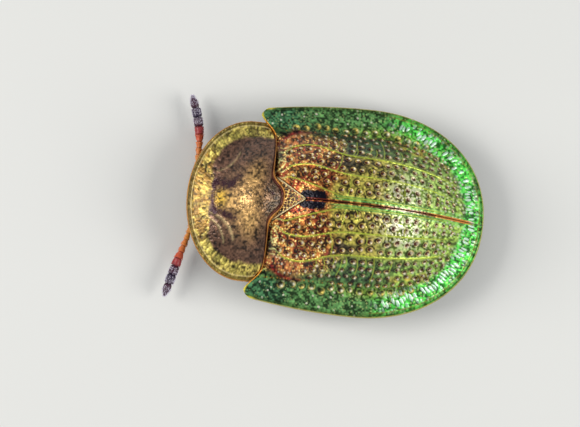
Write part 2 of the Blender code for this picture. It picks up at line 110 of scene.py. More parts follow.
# Rows of pits: (lane, first station, last station, spacing, radius)
PIT_ROWS = (
    (0.31, -0.62, 2.45, 0.265, 0.062),
    (0.55, -1.95, 2.55, 0.275, 0.068),
    (0.92, -2.00, 2.60, 0.270, 0.072),
    (1.17, -2.10, 2.55, 0.255, 0.072),
    (1.45, -1.10, 2.50, 0.240, 0.072),
    (1.62, -1.35, 2.40, 0.235, 0.068),
    (1.80, -1.20, 2.30, 0.230, 0.062),
    (1.96, -0.60, 2.10, 0.230, 0.054),
    (2.14, -2.00, 1.60, 0.270, 0.082),
)
EXTRA_PITS = ((0.36, -1.25), (0.66, -1.62), (0.70, -1.18), (1.04, -1.48), (1.05, -1.05), (0.42, -0.95))
EXTRA_PIT_RADIUS = 0.062
USUAL_PIT_RADIUS = 0.075
PIT_DEPTH = 0.055
PIT_RIM = 0.018
PIT_NUB = 0.030
PIT_REACH = 2.6
# The side that each pit's painted highlight and lit lip face, and how much it varies
PIT_GLINT_TURN = 0.9
PIT_GLINT_SPREAD = 0.6

# Short cross ridges: (station, lane where it starts, lane where it ends)
CROSS_RIDGES = (
    (-1.05, 1.31, 1.60), (-0.86, 1.31, 1.72), (-0.62, 1.31, 1.55), (-0.36, 1.31, 1.80),
    (-0.28, 1.31, 1.62), (0.02, 1.31, 1.75), (0.22, 1.31, 1.60), (0.48, 1.31, 1.90),
    (0.92, 1.31, 1.62), (-0.40, 0.16, 0.75), (-0.12, 0.16, 0.45), (0.62, 0.45, 0.75),
    (1.12, 0.16, 0.75), (-0.75, 0.75, 1.31), (0.18, 0.75, 1.05), (1.75, 0.30, 0.75),
)

# Pale strands on the base, ahead of the long ridges: (start, end, bow)
BASE_STRANDS = (
    ((0.72, -2.36), (0.98, -2.12), 0.04), ((0.86, -2.30), (1.20, -2.18), -0.04),
    ((1.12, -2.34), (1.02, -2.02), 0.03), ((1.30, -2.30), (1.22, -2.06), -0.03),
    ((1.42, -2.24), (1.56, -1.98), 0.04), ((1.05, -2.22), (1.42, -2.10), 0.05),
)
STRAND_WIDTH = 0.018

# Each wing case's own (seed, strength of the painted highlight over the tail, and a factor on its
# flank's colour that paints the left flank lighter and the right one darker, as light falls on them)
CASE_LOOKS = {"left": (12, 1.1, 1.40), "right": (23, 0.85, 0.70)}

# The neck shield
SHIELD_MID_Y = -3.05
SHIELD_HALF_WIDTH = 2.17
SHIELD_REAR_REACH = 0.67
SHIELD_CORNER_POWER = 5.0
SHIELD_LOBE = 0.38
SHIELD_LOBE_WIDTH = 0.47
SHIELD_SIDE_Z = 0.95
SHIELD_FRONT_Z = 1.30
SHIELD_BRIM_RISE = 1.0
SHIELD_DOME_Z = 1.17
SHIELD_DOME_RISE = 1.24
SHIELD_DOME_Y = -2.60
SHIELD_DOME_REACH = 1.45
SHIELD_DOME_HALF_WIDTH = 1.75
SHIELD_BACK_SLOPE = 0.40
SHIELD_BLEND = 0.28
SHIELD_SPOKES = 520
SHIELD_RINGS = 130
SHIELD_UNDER_RINGS = 24
SHIELD_SEED = 31

# Marks on the shield: (strength, centre, reach, turn) of spots,
# and (strength, start, end, width, bow) of strokes
# The gold spots are the shield's own gold; the largest, on the front slope of the dome, is also a
# painted highlight
GOLD_AND_HIGHLIGHT_SPOTS = (
    (1.0, (0.22, -3.06), (0.62, 0.45)), (0.8, (-0.58, -2.86), (0.40, 0.22), -15),
    (0.6, (0.74, -2.88), (0.34, 0.20)), (0.6, (0.12, -3.52), (0.26, 0.24)),
)
DARK_STROKES = (
    (1.0, (-0.34, -3.90), (-0.28, -3.50), 0.13), (0.9, (-0.30, -3.5), (-0.52, -3.32), 0.09),
    (1.0, (0.42, -3.84), (0.58, -3.38), 0.11), (0.9, (-0.36, -3.94), (0.44, -3.88), 0.06, -0.06),
)
DULL_SPOTS = ((1.0, (0.05, -2.22), (0.50, 0.16)), (0.7, (0.0, -2.35), (1.0, 0.10)))
FOLDS = (
    (1.0, (0.48, -3.95), (1.12, -3.30), 0.035, 0.12), (0.8, (0.60, -4.02), (1.22, -3.55), 0.03, 0.10),
    (0.5, (-0.66, -3.9), (-1.2, -3.35), 0.03, -0.10),
)
SWELLINGS = ((0.05, (0.15, -3.10), (0.60, 0.42)), (0.03, (-0.7, -2.85), (0.45, 0.3)))

# The small plate between the bases of the wing cases
SCUTELLUM_FRONT_Y = -2.05
SCUTELLUM_REAR_Y = -1.48
SCUTELLUM_NOTCH_Y = -1.42
SCUTELLUM_HALF_WIDTH = 0.43
SCUTELLUM_GAP = 0.004

# The trunk
BELLY_Z = 1.05
BELLY_CURVE = 0.18
TAIL_DROP = 0.25
TRUNK_HALF_WIDTH = 1.38
TRUNK_SIDE = 0.16
TRUNK_TOP_Z = 2.05
TRUNK_Y = (-3.06, 2.08)
TRUNK_EDGE_STEPS = (0.0, 0.004, 0.012, 0.03, 0.06)
PLATE_JOINTS = (-2.42, -2.14, -0.15, 0.39, 0.83, 1.27, 1.71)

# The head and eyes
HEAD_CENTRE = np.array((0.0, -3.72, 0.55))
HEAD_RADII = np.array((0.72, 0.46, 0.34))
MOUTH = HEAD_CENTRE + (0.0, -0.28, -0.10)
EYE_OFFSET = np.array((0.76, -0.02, 0.0))
EYE_RADII = np.array((0.235, 0.26, 0.23))
FACETS = 520

# The mouth's feelers: (how far to the side, how low they end)
MOUTH_FEELERS = ((0.20, 0.13), (0.12, 0.18))

# The feelers' joints, from the head outwards: lengths, turns from straight ahead, and radii
FEELER_ROOT = np.array((0.509, -4.273, 0.46))
FEELER_JOINTS = (0.24, 0.18, 0.19, 0.18, 0.18, 0.18, 0.19, 0.22, 0.25, 0.26, 0.38)
FEELER_TURNS = {
    1: (25, 84, 82, 76, 73, 73, 74, 75, 75, 75, 76),
    -1: (25, 86, 90, 91, 90, 87, 84, 81, 76, 72, 68),
}
FEELER_RADII = (0.084, 0.068, 0.072, 0.078, 0.086, 0.094, 0.106, 0.114, 0.122, 0.124, 0.108)
FEELER_STEPS = 26
DENSE_JOINT = 6
CLUB_JOINT = 7
FROSTED_JOINT = 8
SPARSE_HAIRS = 35
DENSE_HAIRS = 110

# The left legs: (hip, knee, ankle, toe)
LEGS = {
    "front": ((0.52, -2.72, 0.60), (1.20, -3.15, 0.42), (1.48, -3.40, 0.25), (1.52, -3.72, 0.16)),
    "middle": ((0.62, -1.62, 0.60), (1.33, -1.78, 0.42), (1.69, -1.72, 0.24), (2.02, -1.56, 0.16)),
    "hind": ((0.66, -0.72, 0.60), (1.36, -0.10, 0.45), (1.68, 0.28, 0.26), (1.86, 0.62, 0.16)),
}
HIPS = tuple(joints[0] for joints in LEGS.values())

# Forms of the foot: (way along it, length, width, height, depth of the cleft) for its joints,
# and (height, way along it, way aside) for the points on its stem and claws
FOOT_JOINTS = (
    (0.02, 0.22, 0.17, 0.12, 0.1), (0.19, 0.22, 0.23, 0.11, 0.25), (0.36, 0.27, 0.31, 0.10, 0.5),
)
STEM = ((0.07, 0.34), (0.11, 0.44), (0.10, 0.56))
CLAW = ((0.10, 0.54, 0.02), (0.115, 0.61, 0.07), (0.04, 0.66, 0.10))
LIMB_STEPS = 40

# The form of a hair: (way along it, share of its thickness)
HAIR_FORM = ((0.0, 0.0), (0.15, 1.0), (0.6, 0.7), (1.0, 0.0))
HAIR_THICKNESS = 0.0045

# Finishes of the record's slots: metallic, coat, size and depth of the mottling in its tone,
# size and height of the grain, and specular level
FINISHES = {
    "wing_case": (0.50, 0.12, 0.25, 0.18, 0.02, 0.003, 0.25),
    "shield": (0.45, 0.20, 0.18, 0.20, 0.025, 0.004, 0.35),
    "scutellum": (0.45, 0.25, 0.10, 0.20, 0.02, 0.003, 0.5),
    "belly": (0.05, 0.2, 0.10, 0.20, 0.02, 0.003, 0.5),
    "head": (0.05, 0.2, 0.08, 0.15, 0.015, 0.002, 0.5),
    "eye": (0.0, 0.6, 0.05, 0.05, 0.01, 0.0005, 0.5),
    "feeler": (0.0, 0.1, 0.06, 0.15, 0.012, 0.003, 0.5),
    "leg": (0.0, 0.2, 0.08, 0.15, 0.015, 0.003, 0.5),
}
COAT_ROUGHNESS = 0.12
GRAIN_ROUGHNESS = 0.12

# The view and the studio
PICTURE_WIDTH = 15.57
CAMERA_DISTANCE = 110.0
CAMERA_TILT = 6.0
CAMERA_TURN = 6.0
SENSOR = 36.0
AIM = Vector((0.22, -0.945, 1.0))
LIGHTS = {"front": (2, -75, 60), "rear": (9, 78, 60)}
LIGHT_SIZE = 60
LIGHT_STRENGTH = 16.5
LIGHT_COLOUR = (1.0, 0.98, 0.94)
SKY_COLOUR = (0.9, 0.95, 1.0, 1.0)
SKY_STRENGTH = 0.35
FLOOR_COLOUR = (0.78, 0.78, 0.76, 1.0)
FLOOR_REACH = 0.5

UP = np.array((0.0, 0.0, 1.0))
LEVEL = np.array((1.0, 1.0, 0.0))


def clamp(value):
    return np.clip(value, 0.0, 1.0)


def smooth(value):
    t = clamp(value)
    return t * t * (3.0 - 2.0 * t)


def bell(value, centre, width):
    return np.exp(-(((value - centre) / width) ** 2))


def soft_max(a, b, blend):
    """The larger of two heights, rounded off where they cross."""
    return 0.5 * (a + b + np.sqrt((a - b) ** 2 + blend**2))


def spot(x, y, centre, reach, turn=0.0):
    """1 at the centre of an oval mark, fading out at its reach."""
    angle = math.radians(turn)
    dx, dy = x - centre[0], y - centre[1]
    along = dx * math.cos(angle) + dy * math.sin(angle)
    across = dy * math.cos(angle) - dx * math.sin(angle)
    return np.exp(-((along / reach[0]) ** 2 + (across / reach[1]) ** 2))


def stroke(x, y, start, end, width, bow=0.0):
    """1 along a line that bows to one side, fading out at its width and past its ends."""
    along = np.array(end) - np.array(start)
    length = math.hypot(*along)
    along = along / length
    dx, dy = x - start[0], y - start[1]
    share = (dx * along[0] + dy * along[1]) / length
    aside = dy * along[0] - dx * along[1] - 4.0 * bow * share * (1.0 - share)
    past = np.maximum(0.0, np.abs(share - 0.5) - 0.5) * length
    return np.exp(-((aside / width) ** 2) - (past / width) ** 2)


def marks(kind, x, y, table):
    """The tone of each spot or stroke in a table of (strength, its place and size)."""
    return [strength * kind(x, y, *place) for strength, *place in table]


def unit(vector):
    return vector / np.linalg.norm(vector)


# Colours

def linear(codes):
    """The colours that are written so on a screen, as the amounts of light for a shader."""
    found = []
    for code in codes.split():
        v = np.array([int(code[k : k + 2], 16) / 255 for k in (1, 3, 5)])
        found.append(np.where(v <= 0.04045, v / 12.92, ((v + 0.055) / 1.055) ** 2.4))
    return found


def lit(tint, light, low, high):
    """A colour made lighter or darker from point to point, within limits."""
    return tint * np.clip(light, low, high)[..., None]


def paint(under, *coats):
    """A colour with coats of (colour, share) over it, each as thick as its share says."""
    for over, share in coats:
        under = under + (over - under) * clamp(share)[..., None]
    return under


COPPER, LATTICE, OLIVE, RIDGE, STRAND = linear("#b8783a #ffd87c #aca048 #c4d448 #dcdc90")
SIDE_GREEN, REAR_GREEN, TEAL, VIOLET = linear("#4c6c34 #98b852 #16362e #2c1e2e")
# GLINT is the colour of painted highlights: glints in the pits, sparkles, and sheen over the tail
PIT_DARK, PIT_RED, PIT_RING, GLINT = linear("#1a0a0c #84201e #f0cc64 #fffae0")
SEAM_BROWN, SEAM_ORANGE, SEAM_GREEN = linear("#702818 #d88438 #5cae58")
BLOTCH, CALLUS, CALLUS_RED = linear("#080414 #bc7042 #720c18")
BRIM_DEEP, BRIM_EMERALD, BRIM_WHITE = linear("#527c46 #4cb444 #dcfae4")
BRIM_OLIVE, BRIM_DOT, BRIM_CORNER = linear("#86a83a #bcd080 #265440")
RIM_GOLD, RIM_ORANGE, RIM_DARK, TIP_GOLD = linear("#c4b458 #d89030 #46602c #d8cc4c")
BRONZE, GOLD, SHADE, EYE_SPOT, YELLOW = linear("#66493a #d0a466 #2e1c16 #3a1220 #e4b840")
BAND_TAN, BAND_OLIVE, BAND_GOLD, BAND_DARK = linear("#a8803c #b4ac54 #f4dc74 #64501e")
SHIELD_ORANGE, SHIELD_RED, SHIELD_OLIVE = linear("#d89038 #5e1c10 #38422c")
PALE_FOLD, UNDER_GREEN, UNDER_BROWN = linear("#e4cc90 #3c5a2c #6a4c24")
SCUTELLUM_BROWN, SCUTELLUM_CREAM = linear("#8a4c22 #eedcaa")
BELLY_BROWN, BELLY_EDGE, BELLY_DARK = linear("#3c2a16 #7c6030 #160e0a")
HEAD_BROWN, HEAD_DARK, MOUTH_BROWN = linear("#6a4420 #1c0f0a #a0642c")
EYE_BLACK, FACET_BROWN, FROST = linear("#070506 #3a2020 #f4ecff")
LEG_COLOUR, LEG_DARK, PAD_PALE, CLAW_COLOUR = linear("#a8702c #5a3414 #d8c08a #2a140a")
FEELER_COLOURS = linear(
    "#c87c30 #e09838 #e09438 #e08c34 #e08438 #dc7a3c #d4603c #a83c3c #421830 #241034 #3c1030"
)


# Repeatable random relief

def scatter(i, j, seed):
    """A random number from 0 to 1 for each pair of whole numbers."""
    n = (i * 73856093) ^ (j * 19349663) ^ (seed * 83492791)
    n = (n & 0x7FFFFFFF) ^ ((n & 0x7FFFFFFF) >> 13)
    n = (n * 1274126177) & 0x7FFFFFFF
    return ((n ^ (n >> 15)) & 0xFFFF) / 65535.0


def clouds(x, y, size, seed):
    """Smooth random tones from 0 to 1, each about this size across."""
    i, j = np.floor(x / size).astype(np.int64), np.floor(y / size).astype(np.int64)
    s, t = smooth(x / size - i), smooth(y / size - j)
    near = scatter(i, j, seed) * (1 - s) + scatter(i + 1, j, seed) * s
    far = scatter(i, j + 1, seed) * (1 - s) + scatter(i + 1, j + 1, seed) * s
    return near * (1 - t) + far * t


def cells(x, y, size, seed):
    """(share of the way from a cell's middle to its wall, the cell's own random number)."""
    i, j = np.floor(x / size).astype(np.int64), np.floor(y / size).astype(np.int64)
    first = second = np.full(np.shape(x), FAR)
    number = np.zeros(np.shape(x))
    for a in (-1, 0, 1):
        for b in (-1, 0, 1):
            ci, cj = i + a, j + b
            px = ci + 0.15 + 0.7 * scatter(ci, cj, seed)
            py = cj + 0.15 + 0.7 * scatter(ci, cj, seed + 1)
            away = np.hypot(x / size - px, y / size - py)
            nearer = away < first
            second = np.where(nearer, first, np.minimum(second, away))
            number = np.where(nearer, scatter(ci, cj, seed + 2), number)
            first = np.where(nearer, away, first)
    return first / np.maximum(second, 1e-6), number


def grain(x, y, seed):
    """Fine random tones about 0, as on a rough and glittering skin."""
    return 1.5 * clouds(x, y, 0.045, seed) + clouds(x, y, 0.09, seed + 1) - 1.25


def specks(x, y, size, seed, amount):
    """Small round dots, on this share of the places that they could take."""
    net, number = cells(x, y, size, seed)
    return smooth((0.52 - net) / 0.25) * (number < amount)


# Materials

def settings(node, values):
    for name, value in values.items():
        node.inputs[name].default_value = value
    return node


def cuticle(name, metallic, coat, mottle_size, mottle, grain_size, grain_depth, specular):
    """Insect cuticle: the mesh's own tint and roughness, clouded and finely grained."""
    material = bpy.data.materials.new(name)
    material.use_nodes = True
    nodes, link = material.node_tree.nodes, material.node_tree.links.new
    shader = settings(nodes["Principled BSDF"], {
        "Metallic": metallic, "Coat Weight": coat, "Coat Roughness": COAT_ROUGHNESS,
        "Specular IOR Level": specular,
    })
    tint = nodes.new("ShaderNodeAttribute")
    tint.attribute_name = "tint"
    place = nodes.new("ShaderNodeTexCoord")

    def texture(size, detail):
        noise = nodes.new("ShaderNodeTexNoise")
        settings(noise, {"Scale": 1.0 / (size * MM), "Detail": detail})
        link(place.outputs["Object"], noise.inputs["Vector"])
        return noise.outputs["Fac"]

    tone = settings(nodes.new("ShaderNodeMapRange"), {
        "From Min": 0.3, "From Max": 0.7, "To Min": 1.0 - mottle, "To Max": 1.0 + mottle,
    })
    link(texture(mottle_size, 4.0), tone.inputs["Value"])
    toned = nodes.new("ShaderNodeVectorMath")
    toned.operation = "SCALE"
    link(tint.outputs["Color"], toned.inputs[0])
    link(tone.outputs["Result"], toned.inputs["Scale"])
    link(toned.outputs["Vector"], shader.inputs["Base Color"])
    fine = texture(grain_size, 2.0)
    rough = nodes.new("ShaderNodeMath")
    rough.operation = "MULTIPLY_ADD"
    rough.inputs[1].default_value = GRAIN_ROUGHNESS
    link(fine, rough.inputs[0])
    link(tint.outputs["Alpha"], rough.inputs[2])
    link(rough.outputs["Value"], shader.inputs["Roughness"])
    bump = settings(nodes.new("ShaderNodeBump"), {"Distance": grain_depth * MM})
    link(fine, bump.inputs["Height"])
    link(bump.outputs["Normal"], shader.inputs["Normal"])
    return material


CUTICLES = {slot: cuticle(f"{slot}_cuticle", *values) for slot, values in FINISHES.items()}


# Meshes made of patches: each is (points, faces, colour and roughness of each point)

def lattice(rows, columns, closed=False):
    """The faces of a grid of points, whose last column may join its first."""
    i = np.arange(rows - 1)[:, None] * columns
    j = np.arange(columns if closed else columns - 1)[None, :]
    k = (j + 1) % columns
    return np.stack([i + j, i + k, i + k + columns, i + j + columns], -1).reshape(-1, 4)


def grid_patch(x, y, z, tint, roughness, flip=False, closed=False):
    points = np.stack([x, y, z], -1).reshape(-1, 3)
    faces = lattice(*x.shape, closed)
    look = np.empty((len(points), 4))
    look[:, :3] = np.broadcast_to(tint, (*x.shape, 3)).reshape(-1, 3)
    look[:, 3] = np.broadcast_to(roughness, x.shape).reshape(-1)
    return points, faces[:, ::-1] if flip else faces, look


def mirrored(patch):
    points, faces, look = patch
    return points * (-1.0, 1.0, 1.0), faces[:, ::-1], look


def place_in_scene(name, data):
    made = bpy.data.objects.new(name, data)
    bpy.context.scene.collection.objects.link(made)
    return made


def piece(name, patches, slot, *nodes, unwrap=None):
    """Joins the patches into one smooth mesh, welded where they meet, in the row frame."""
    patches = list(patches)
    starts = np.cumsum([0] + [len(patch[0]) for patch in patches])
    points = np.concatenate([patch[0] for patch in patches])
    faces = np.concatenate([patch[1] + start for patch, start in zip(patches, starts)])
    look = np.concatenate([patch[2] for patch in patches])
    mesh = bpy.data.meshes.new(name)
    mesh.from_pydata(points.tolist(), [], faces.tolist())
    tint = mesh.attributes.new("tint", "FLOAT_COLOR", "POINT")
    tint.data.foreach_set("color", look.astype(np.float32).ravel())
    if unwrap is not None:
        root_place = mesh.attributes.new("root_place", "FLOAT2", "POINT")
        root_place.data.foreach_set("vector", unwrap.astype(np.float32).ravel())
    shape = bmesh.new()
    shape.from_mesh(mesh)
    bmesh.ops.remove_doubles(shape, verts=shape.verts, dist=1e-5)
    bmesh.ops.translate(shape, vec=TO_ROW, verts=shape.verts)
    bmesh.ops.scale(shape, vec=(MM, MM, MM), verts=shape.verts)
    shape.to_mesh(mesh)
    shape.free()
    if unwrap is not None:
        place = np.empty(2 * len(mesh.vertices), np.float32)
        mesh.attributes["root_place"].data.foreach_get("vector", place)
        corners = np.empty(len(mesh.loops), np.int32)
        mesh.loops.foreach_get("vertex_index", corners)
        layer = mesh.uv_layers.new(name="OFBake")
        layer.data.foreach_set("uv", place.reshape(-1, 2)[corners].ravel())
        mesh.attributes.remove(mesh.attributes["root_place"])
    mesh.materials.append(CUTICLES[slot])
    mesh.shade_smooth()
    made = place_in_scene(name, mesh)
    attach(made, "root")
    if nodes:
        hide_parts(*nodes)


# Wing cases

def case_half_width(y):
    """Half the width of both wing cases together at this station."""
    share = clamp(y / TAIL_Y) ** TAIL_POWER
    rear = HALF_WIDTH * (1.0 - share) ** (1.0 / TAIL_POWER)
    return np.where(y > 0.0, rear, HALF_WIDTH - SHOULDER_TAPER * y * y)


def case_tail_y(x):
    return TAIL_Y * (1.0 - (x / HALF_WIDTH) ** TAIL_POWER) ** (1.0 / TAIL_POWER)


def shield_rear_y(x):
    """The neck shield's rear edge, square at the corners and lobed in the middle."""
    side = clamp(np.abs(x) / SHIELD_HALF_WIDTH) ** SHIELD_CORNER_POWER
    lobe = SHIELD_LOBE * np.exp(-(np.abs(x) / SHIELD_LOBE_WIDTH) ** 3)
    return SHIELD_MID_Y + SHIELD_REAR_REACH * (1.0 - side) ** (1.0 / SHIELD_CORNER_POWER) + lobe


def case_base_y(x):
    """The front edge of a wing case, just under the shield and then out to the shoulder."""
    near = smooth((x - SHOULDER_LEAVES_X + 0.4) / 0.4)
    overlap = BASE_OVERLAP + (SHOULDER_OVERLAP - BASE_OVERLAP) * near
    behind = shield_rear_y(np.minimum(x, SHOULDER_LEAVES_X)) - overlap
    return behind - SHOULDER_RISE * smooth((x - SHOULDER_LEAVES_X) / (SHOULDER_X - SHOULDER_LEAVES_X))


def brim_share(x, y):
    """0 on the midline and 1 on the outer rim."""
    back = np.maximum(0.0, y / TAIL_Y) ** TAIL_POWER + (np.abs(x) / HALF_WIDTH) ** TAIL_POWER
    ahead = np.abs(x) / np.maximum(case_half_width(y), 1e-9)
    return np.where(y > 0.0, back ** (1.0 / TAIL_POWER), ahead)


def rim_distance(x, y):
    """About how far it is to the outer rim."""
    share = brim_share(x, y)
    steep = np.hypot(y / TAIL_Y**2, x / HALF_WIDTH**2) / np.maximum(share, 0.05)
    return np.where(y > 0.0, (1.0 - share) / steep, case_half_width(y) - np.abs(x))


def dome_share(x, y):
    """0 on the crest line and 1 where the dome meets the brim."""
    narrowing = DOME_BASE_NARROWING * smooth((-1.2 - y) / 1.4)
    front = np.abs(x) / (DOME_HALF_WIDTH - narrowing)
    return np.where(y > 0.0, np.hypot(y / DOME_TAIL_Y, x / DOME_HALF_WIDTH), front)


def case_height(x, y):
    """The smooth outer surface of the wing cases."""
    fall = np.where(y < CREST_Y, FRONT_FALL, REAR_FALL)
    crest = CREST_Z - fall * (y - CREST_Y) ** 2
    dome = DOME_FOOT_Z + (crest - DOME_FOOT_Z) * (1.0 - dome_share(x, y) ** DOME_POWER)
    brim = RIM_TOP_Z + BRIM_RISE * (1.0 - brim_share(x, y))
    return soft_max(dome, brim, BLEND)


def steepness(height, x, y, step=0.02):
    """How much taller than its thickness a sloping layer stands at this place."""
    across = (height(x + step, y) - height(x - step, y)) / (2 * step)
    along = (height(x, y + step) - height(x, y - step)) / (2 * step)
    return np.minimum(STEEPEST, np.sqrt(1.0 + across**2 + along**2))


def scutellum_half_width(y):
    share = (SCUTELLUM_NOTCH_Y - y) / (SCUTELLUM_NOTCH_Y - SCUTELLUM_FRONT_Y)
    return SCUTELLUM_HALF_WIDTH * np.clip(share, 0.0, 1.4)


def inner_edge(y):
    return scutellum_half_width(y) + SEAM


def lane_lines(y):
    """Distances from the seam of the lines that the lanes follow."""
    scale = case_half_width(np.maximum(0.0, y)) / HALF_WIDTH
    swell = bell(y, SWELL_Y, SWELL_WIDTH)
    return (
        np.zeros(np.shape(y)),
        (LANES[1] + SECOND_RIDGE_SWELL * swell) * scale,
        (LANES[2] + THIRD_RIDGE_SWELL * swell) * scale,
        LANES[3] * scale,
        case_half_width(y),
    )


def carried(value, lines, others):
    """What lies between some lines, moved to the same share of the way between others."""
    steps = zip(lines, lines[1:], others, others[1:])
    return sum(clamp((value - a) / np.maximum(b - a, 1e-6)) * (d - c) for a, b, c, d in steps)


def lane_at(x, y):
    return carried(x, lane_lines(y), LANES)


def lane_x(lane, y):
    return carried(lane, LANES, lane_lines(y))


def first_ridge_x(y):
    """The first ridge starts wide beside the scutellum and runs in to the seam."""
    scale = case_half_width(np.maximum(0.0, y)) / HALF_WIDTH
    return (0.13 + 0.31 * np.maximum(0.0, -0.45 - y)) * scale


def shares(middle, edge_steps, reach):
    """Shares from 0 to 1, set closer together at both ends."""
    steps = np.array(edge_steps) / reach
    inside = np.linspace(steps[-1] * 1.6, 1.0 - steps[-1] * 1.6, middle)
    return np.concatenate([steps, inside, 1.0 - steps[::-1]])


def case_grid(rows, columns):
    """x and y over a wing case: rows from base to tail, columns from seam to rim."""
    tail_row_y = case_tail_y(TAIL_CUT_X)

    def column_x(y):
        return inner_edge(y) + (case_half_width(y) - inner_edge(y)) * columns

    tail_x = column_x(np.full(len(columns), tail_row_y))
    base_y = case_base_y(SHOULDER_X * columns)
    for _ in range(12):
        base_y = case_base_y(column_x(base_y))
    y = base_y + (case_tail_y(tail_x) - base_y) * rows[:, None]
    x = column_x(np.minimum(y, tail_row_y))
    s = clamp((CORNER_RADIUS - rim_distance(x, y)) / CORNER_RADIUS) * (y < 0.0)
    t = clamp((CORNER_RADIUS - y + case_base_y(x)) / CORNER_RADIUS)
    rounded_x = x - CORNER_RADIUS * s * (1.0 - np.sqrt(1.0 - t**2 / 2))
    return rounded_x, y + CORNER_RADIUS * t * (1.0 - np.sqrt(1.0 - s**2 / 2))


def case_pits(rng):
    """(x, y, radius) of every pit of a wing case."""
    pits = []
    for lane, first, last, spacing, radius in PIT_ROWS:
        y = first + rng.uniform(0.0, 0.1)
        while y < last:
            loose = 0.035 if y > -0.7 else 0.06
            here = lane + rng.normal(0.0, loose * 0.6)
            size = radius * rng.uniform(0.82, 1.12) * (1.0 - 0.35 * smooth((y - 1.6) / 0.9))
            pits.append((float(lane_x(here, np.array(y))), y, float(size)))
            y += spacing * rng.uniform(0.85, 1.15) * (1.0 - 0.2 * smooth((y - 1.4) / 0.8))
    for lane, y in EXTRA_PITS:
        here = lane + rng.normal(0.0, 0.03)
        pits.append((float(lane_x(here, np.array(y))), y + rng.normal(0.0, 0.03), EXTRA_PIT_RADIUS))
    return pits


def pit_field(x, y, pits, rng):
    """Relief of the pits, and how far inside one, on its lip, in the dark round it, or on its
    painted highlight each point lies. The lip is painted lit on the side that the highlight faces,
    and the dark round it is deepened as painted shade on the other side."""
    z = case_height(x, y)
    relief, *tones = (np.zeros(x.shape) for _ in range(5))
    for px, py, radius in pits:
        near = np.hypot(x - px, y - py) < PIT_REACH * radius
        turn = rng.normal(PIT_GLINT_TURN, PIT_GLINT_SPREAD)
        if not near.any():
            continue
        dx, dy = (x[near] - px) / radius, (y[near] - py) / radius
        dz = (z[near] - case_height(np.array(px), np.array(py))) / radius
        away = np.sqrt(dx**2 + dy**2 + dz**2)
        # How far toward the side of the painted highlight each point lies, and how far across it
        toward_light = dx * math.cos(turn) + dy * math.sin(turn)
        across = dy * math.cos(turn) - dx * math.sin(turn)
        shape = PIT_RIM * bell(away, 1.12, 0.22) - PIT_DEPTH * clamp(1.0 - away**2)
        relief[near] += (shape + PIT_NUB * bell(away, 0.0, 0.32)) * radius / USUAL_PIT_RADIUS
        # The lip is painted lit toward the highlight; the halo, a dark ring, is deepened as painted
        # shade away from it; the glint is a painted highlight
        inside = smooth((1.02 - away) / 0.22)
        lip = bell(away, 1.0, 0.26) * clamp(0.55 + 0.75 * toward_light)
        halo = bell(away, 1.40, 0.42) * clamp(0.80 - 0.40 * toward_light)
        glint = bell(toward_light, 0.58, 0.36) * bell(across, 0.0, 0.48)
        for tone, here in zip(tones, (inside, lip, halo, glint)):
            tone[near] = np.maximum(tone[near], here)
    return relief, *tones


def case_ridges(x, y, rng):
    """How much of a long ridge, and of a short cross ridge, runs through each point."""
    lines = lane_lines(y)
    fade = 1.0 - smooth((y - 1.9) / 0.7)
    starts = smooth((y + 2.30) / 0.12)
    long_ones = np.zeros(x.shape)
    for line, strength in ((first_ridge_x(y), 0.8), (lines[1], 1.0), (lines[2], 1.0)):
        hook = 0.12 * smooth((-1.9 - y) / 0.3)
        tilt = 1.0 + np.gradient(line, axis=0) ** 2 / np.maximum(np.gradient(y, axis=0) ** 2, 1e-9)
        away = (x - line + hook) / np.sqrt(tilt)
        long_ones = np.maximum(long_ones, strength * bell(away, 0.0, RIDGE_WIDTH) * fade * starts)
    short_ones = np.zeros(x.shape)
    lane = lane_at(x, y)
    for station, low, high in CROSS_RIDGES:
        lean = rng.uniform(-0.25, 0.25)
        bow = 0.05 * np.sin((lane - low) / (high - low) * math.pi)
        away = y - station - lean * (lane - low) - bow
        span = smooth((lane - low) / 0.06 + 0.5) * smooth((high - lane) / 0.06 + 0.5)
        short_ones = np.maximum(short_ones, bell(away, 0.0, CROSS_RIDGE_WIDTH) * span)
    return long_ones, short_ones


def brim_tint(x, y, lane, wave, fine, pits, streaks, seed):
    """The colour of the brim: dark at the shoulder, green and dotted, and white-streaked behind,
    with white specks of painted sparkle and pits with painted highlights and shade.
    """
    in_pit, lip, halo, glint = pits
    tint = paint(
        BRIM_DEEP,
        (BRIM_CORNER, smooth((-1.4 - y + 0.4 * wave) / 0.6) * 0.6),
        (BRIM_EMERALD, smooth((y - 0.1 + 0.5 * wave) / 1.1)),
        (BRIM_OLIVE, smooth((2.40 - lane) / 0.25) * bell(y, 0.6, 0.9) * 0.8),
    )
    return paint(
        lit(tint, 1.14 + 2.1 * fine, 0.30, 3.4),
        (BRIM_DOT, specks(x, y, 0.075, seed + 6, 0.34) * (0.40 + 0.40 * smooth((y + 0.8) / 1.5))),
        # White specks that are painted sparkles
        (GLINT, specks(x, y, 0.10, seed + 9, 0.08) * 0.7),
        # The pits' dark halos and floors, the halos deepened as painted shade away from their painted
        # highlights, and their lips painted lit toward them
        (PIT_DARK, halo * 0.7),
        (PIT_DARK, in_pit * 0.8),
        (RIM_GOLD, lip * 0.9),
        # Painted highlights in the pits, some white and some gold
        (paint(GLINT, (BAND_GOLD, clouds(x, y, 0.2, seed + 11) > 0.5)), glint),
        (BRIM_WHITE, streaks * smooth((y - 0.4) / 0.7)),
    )


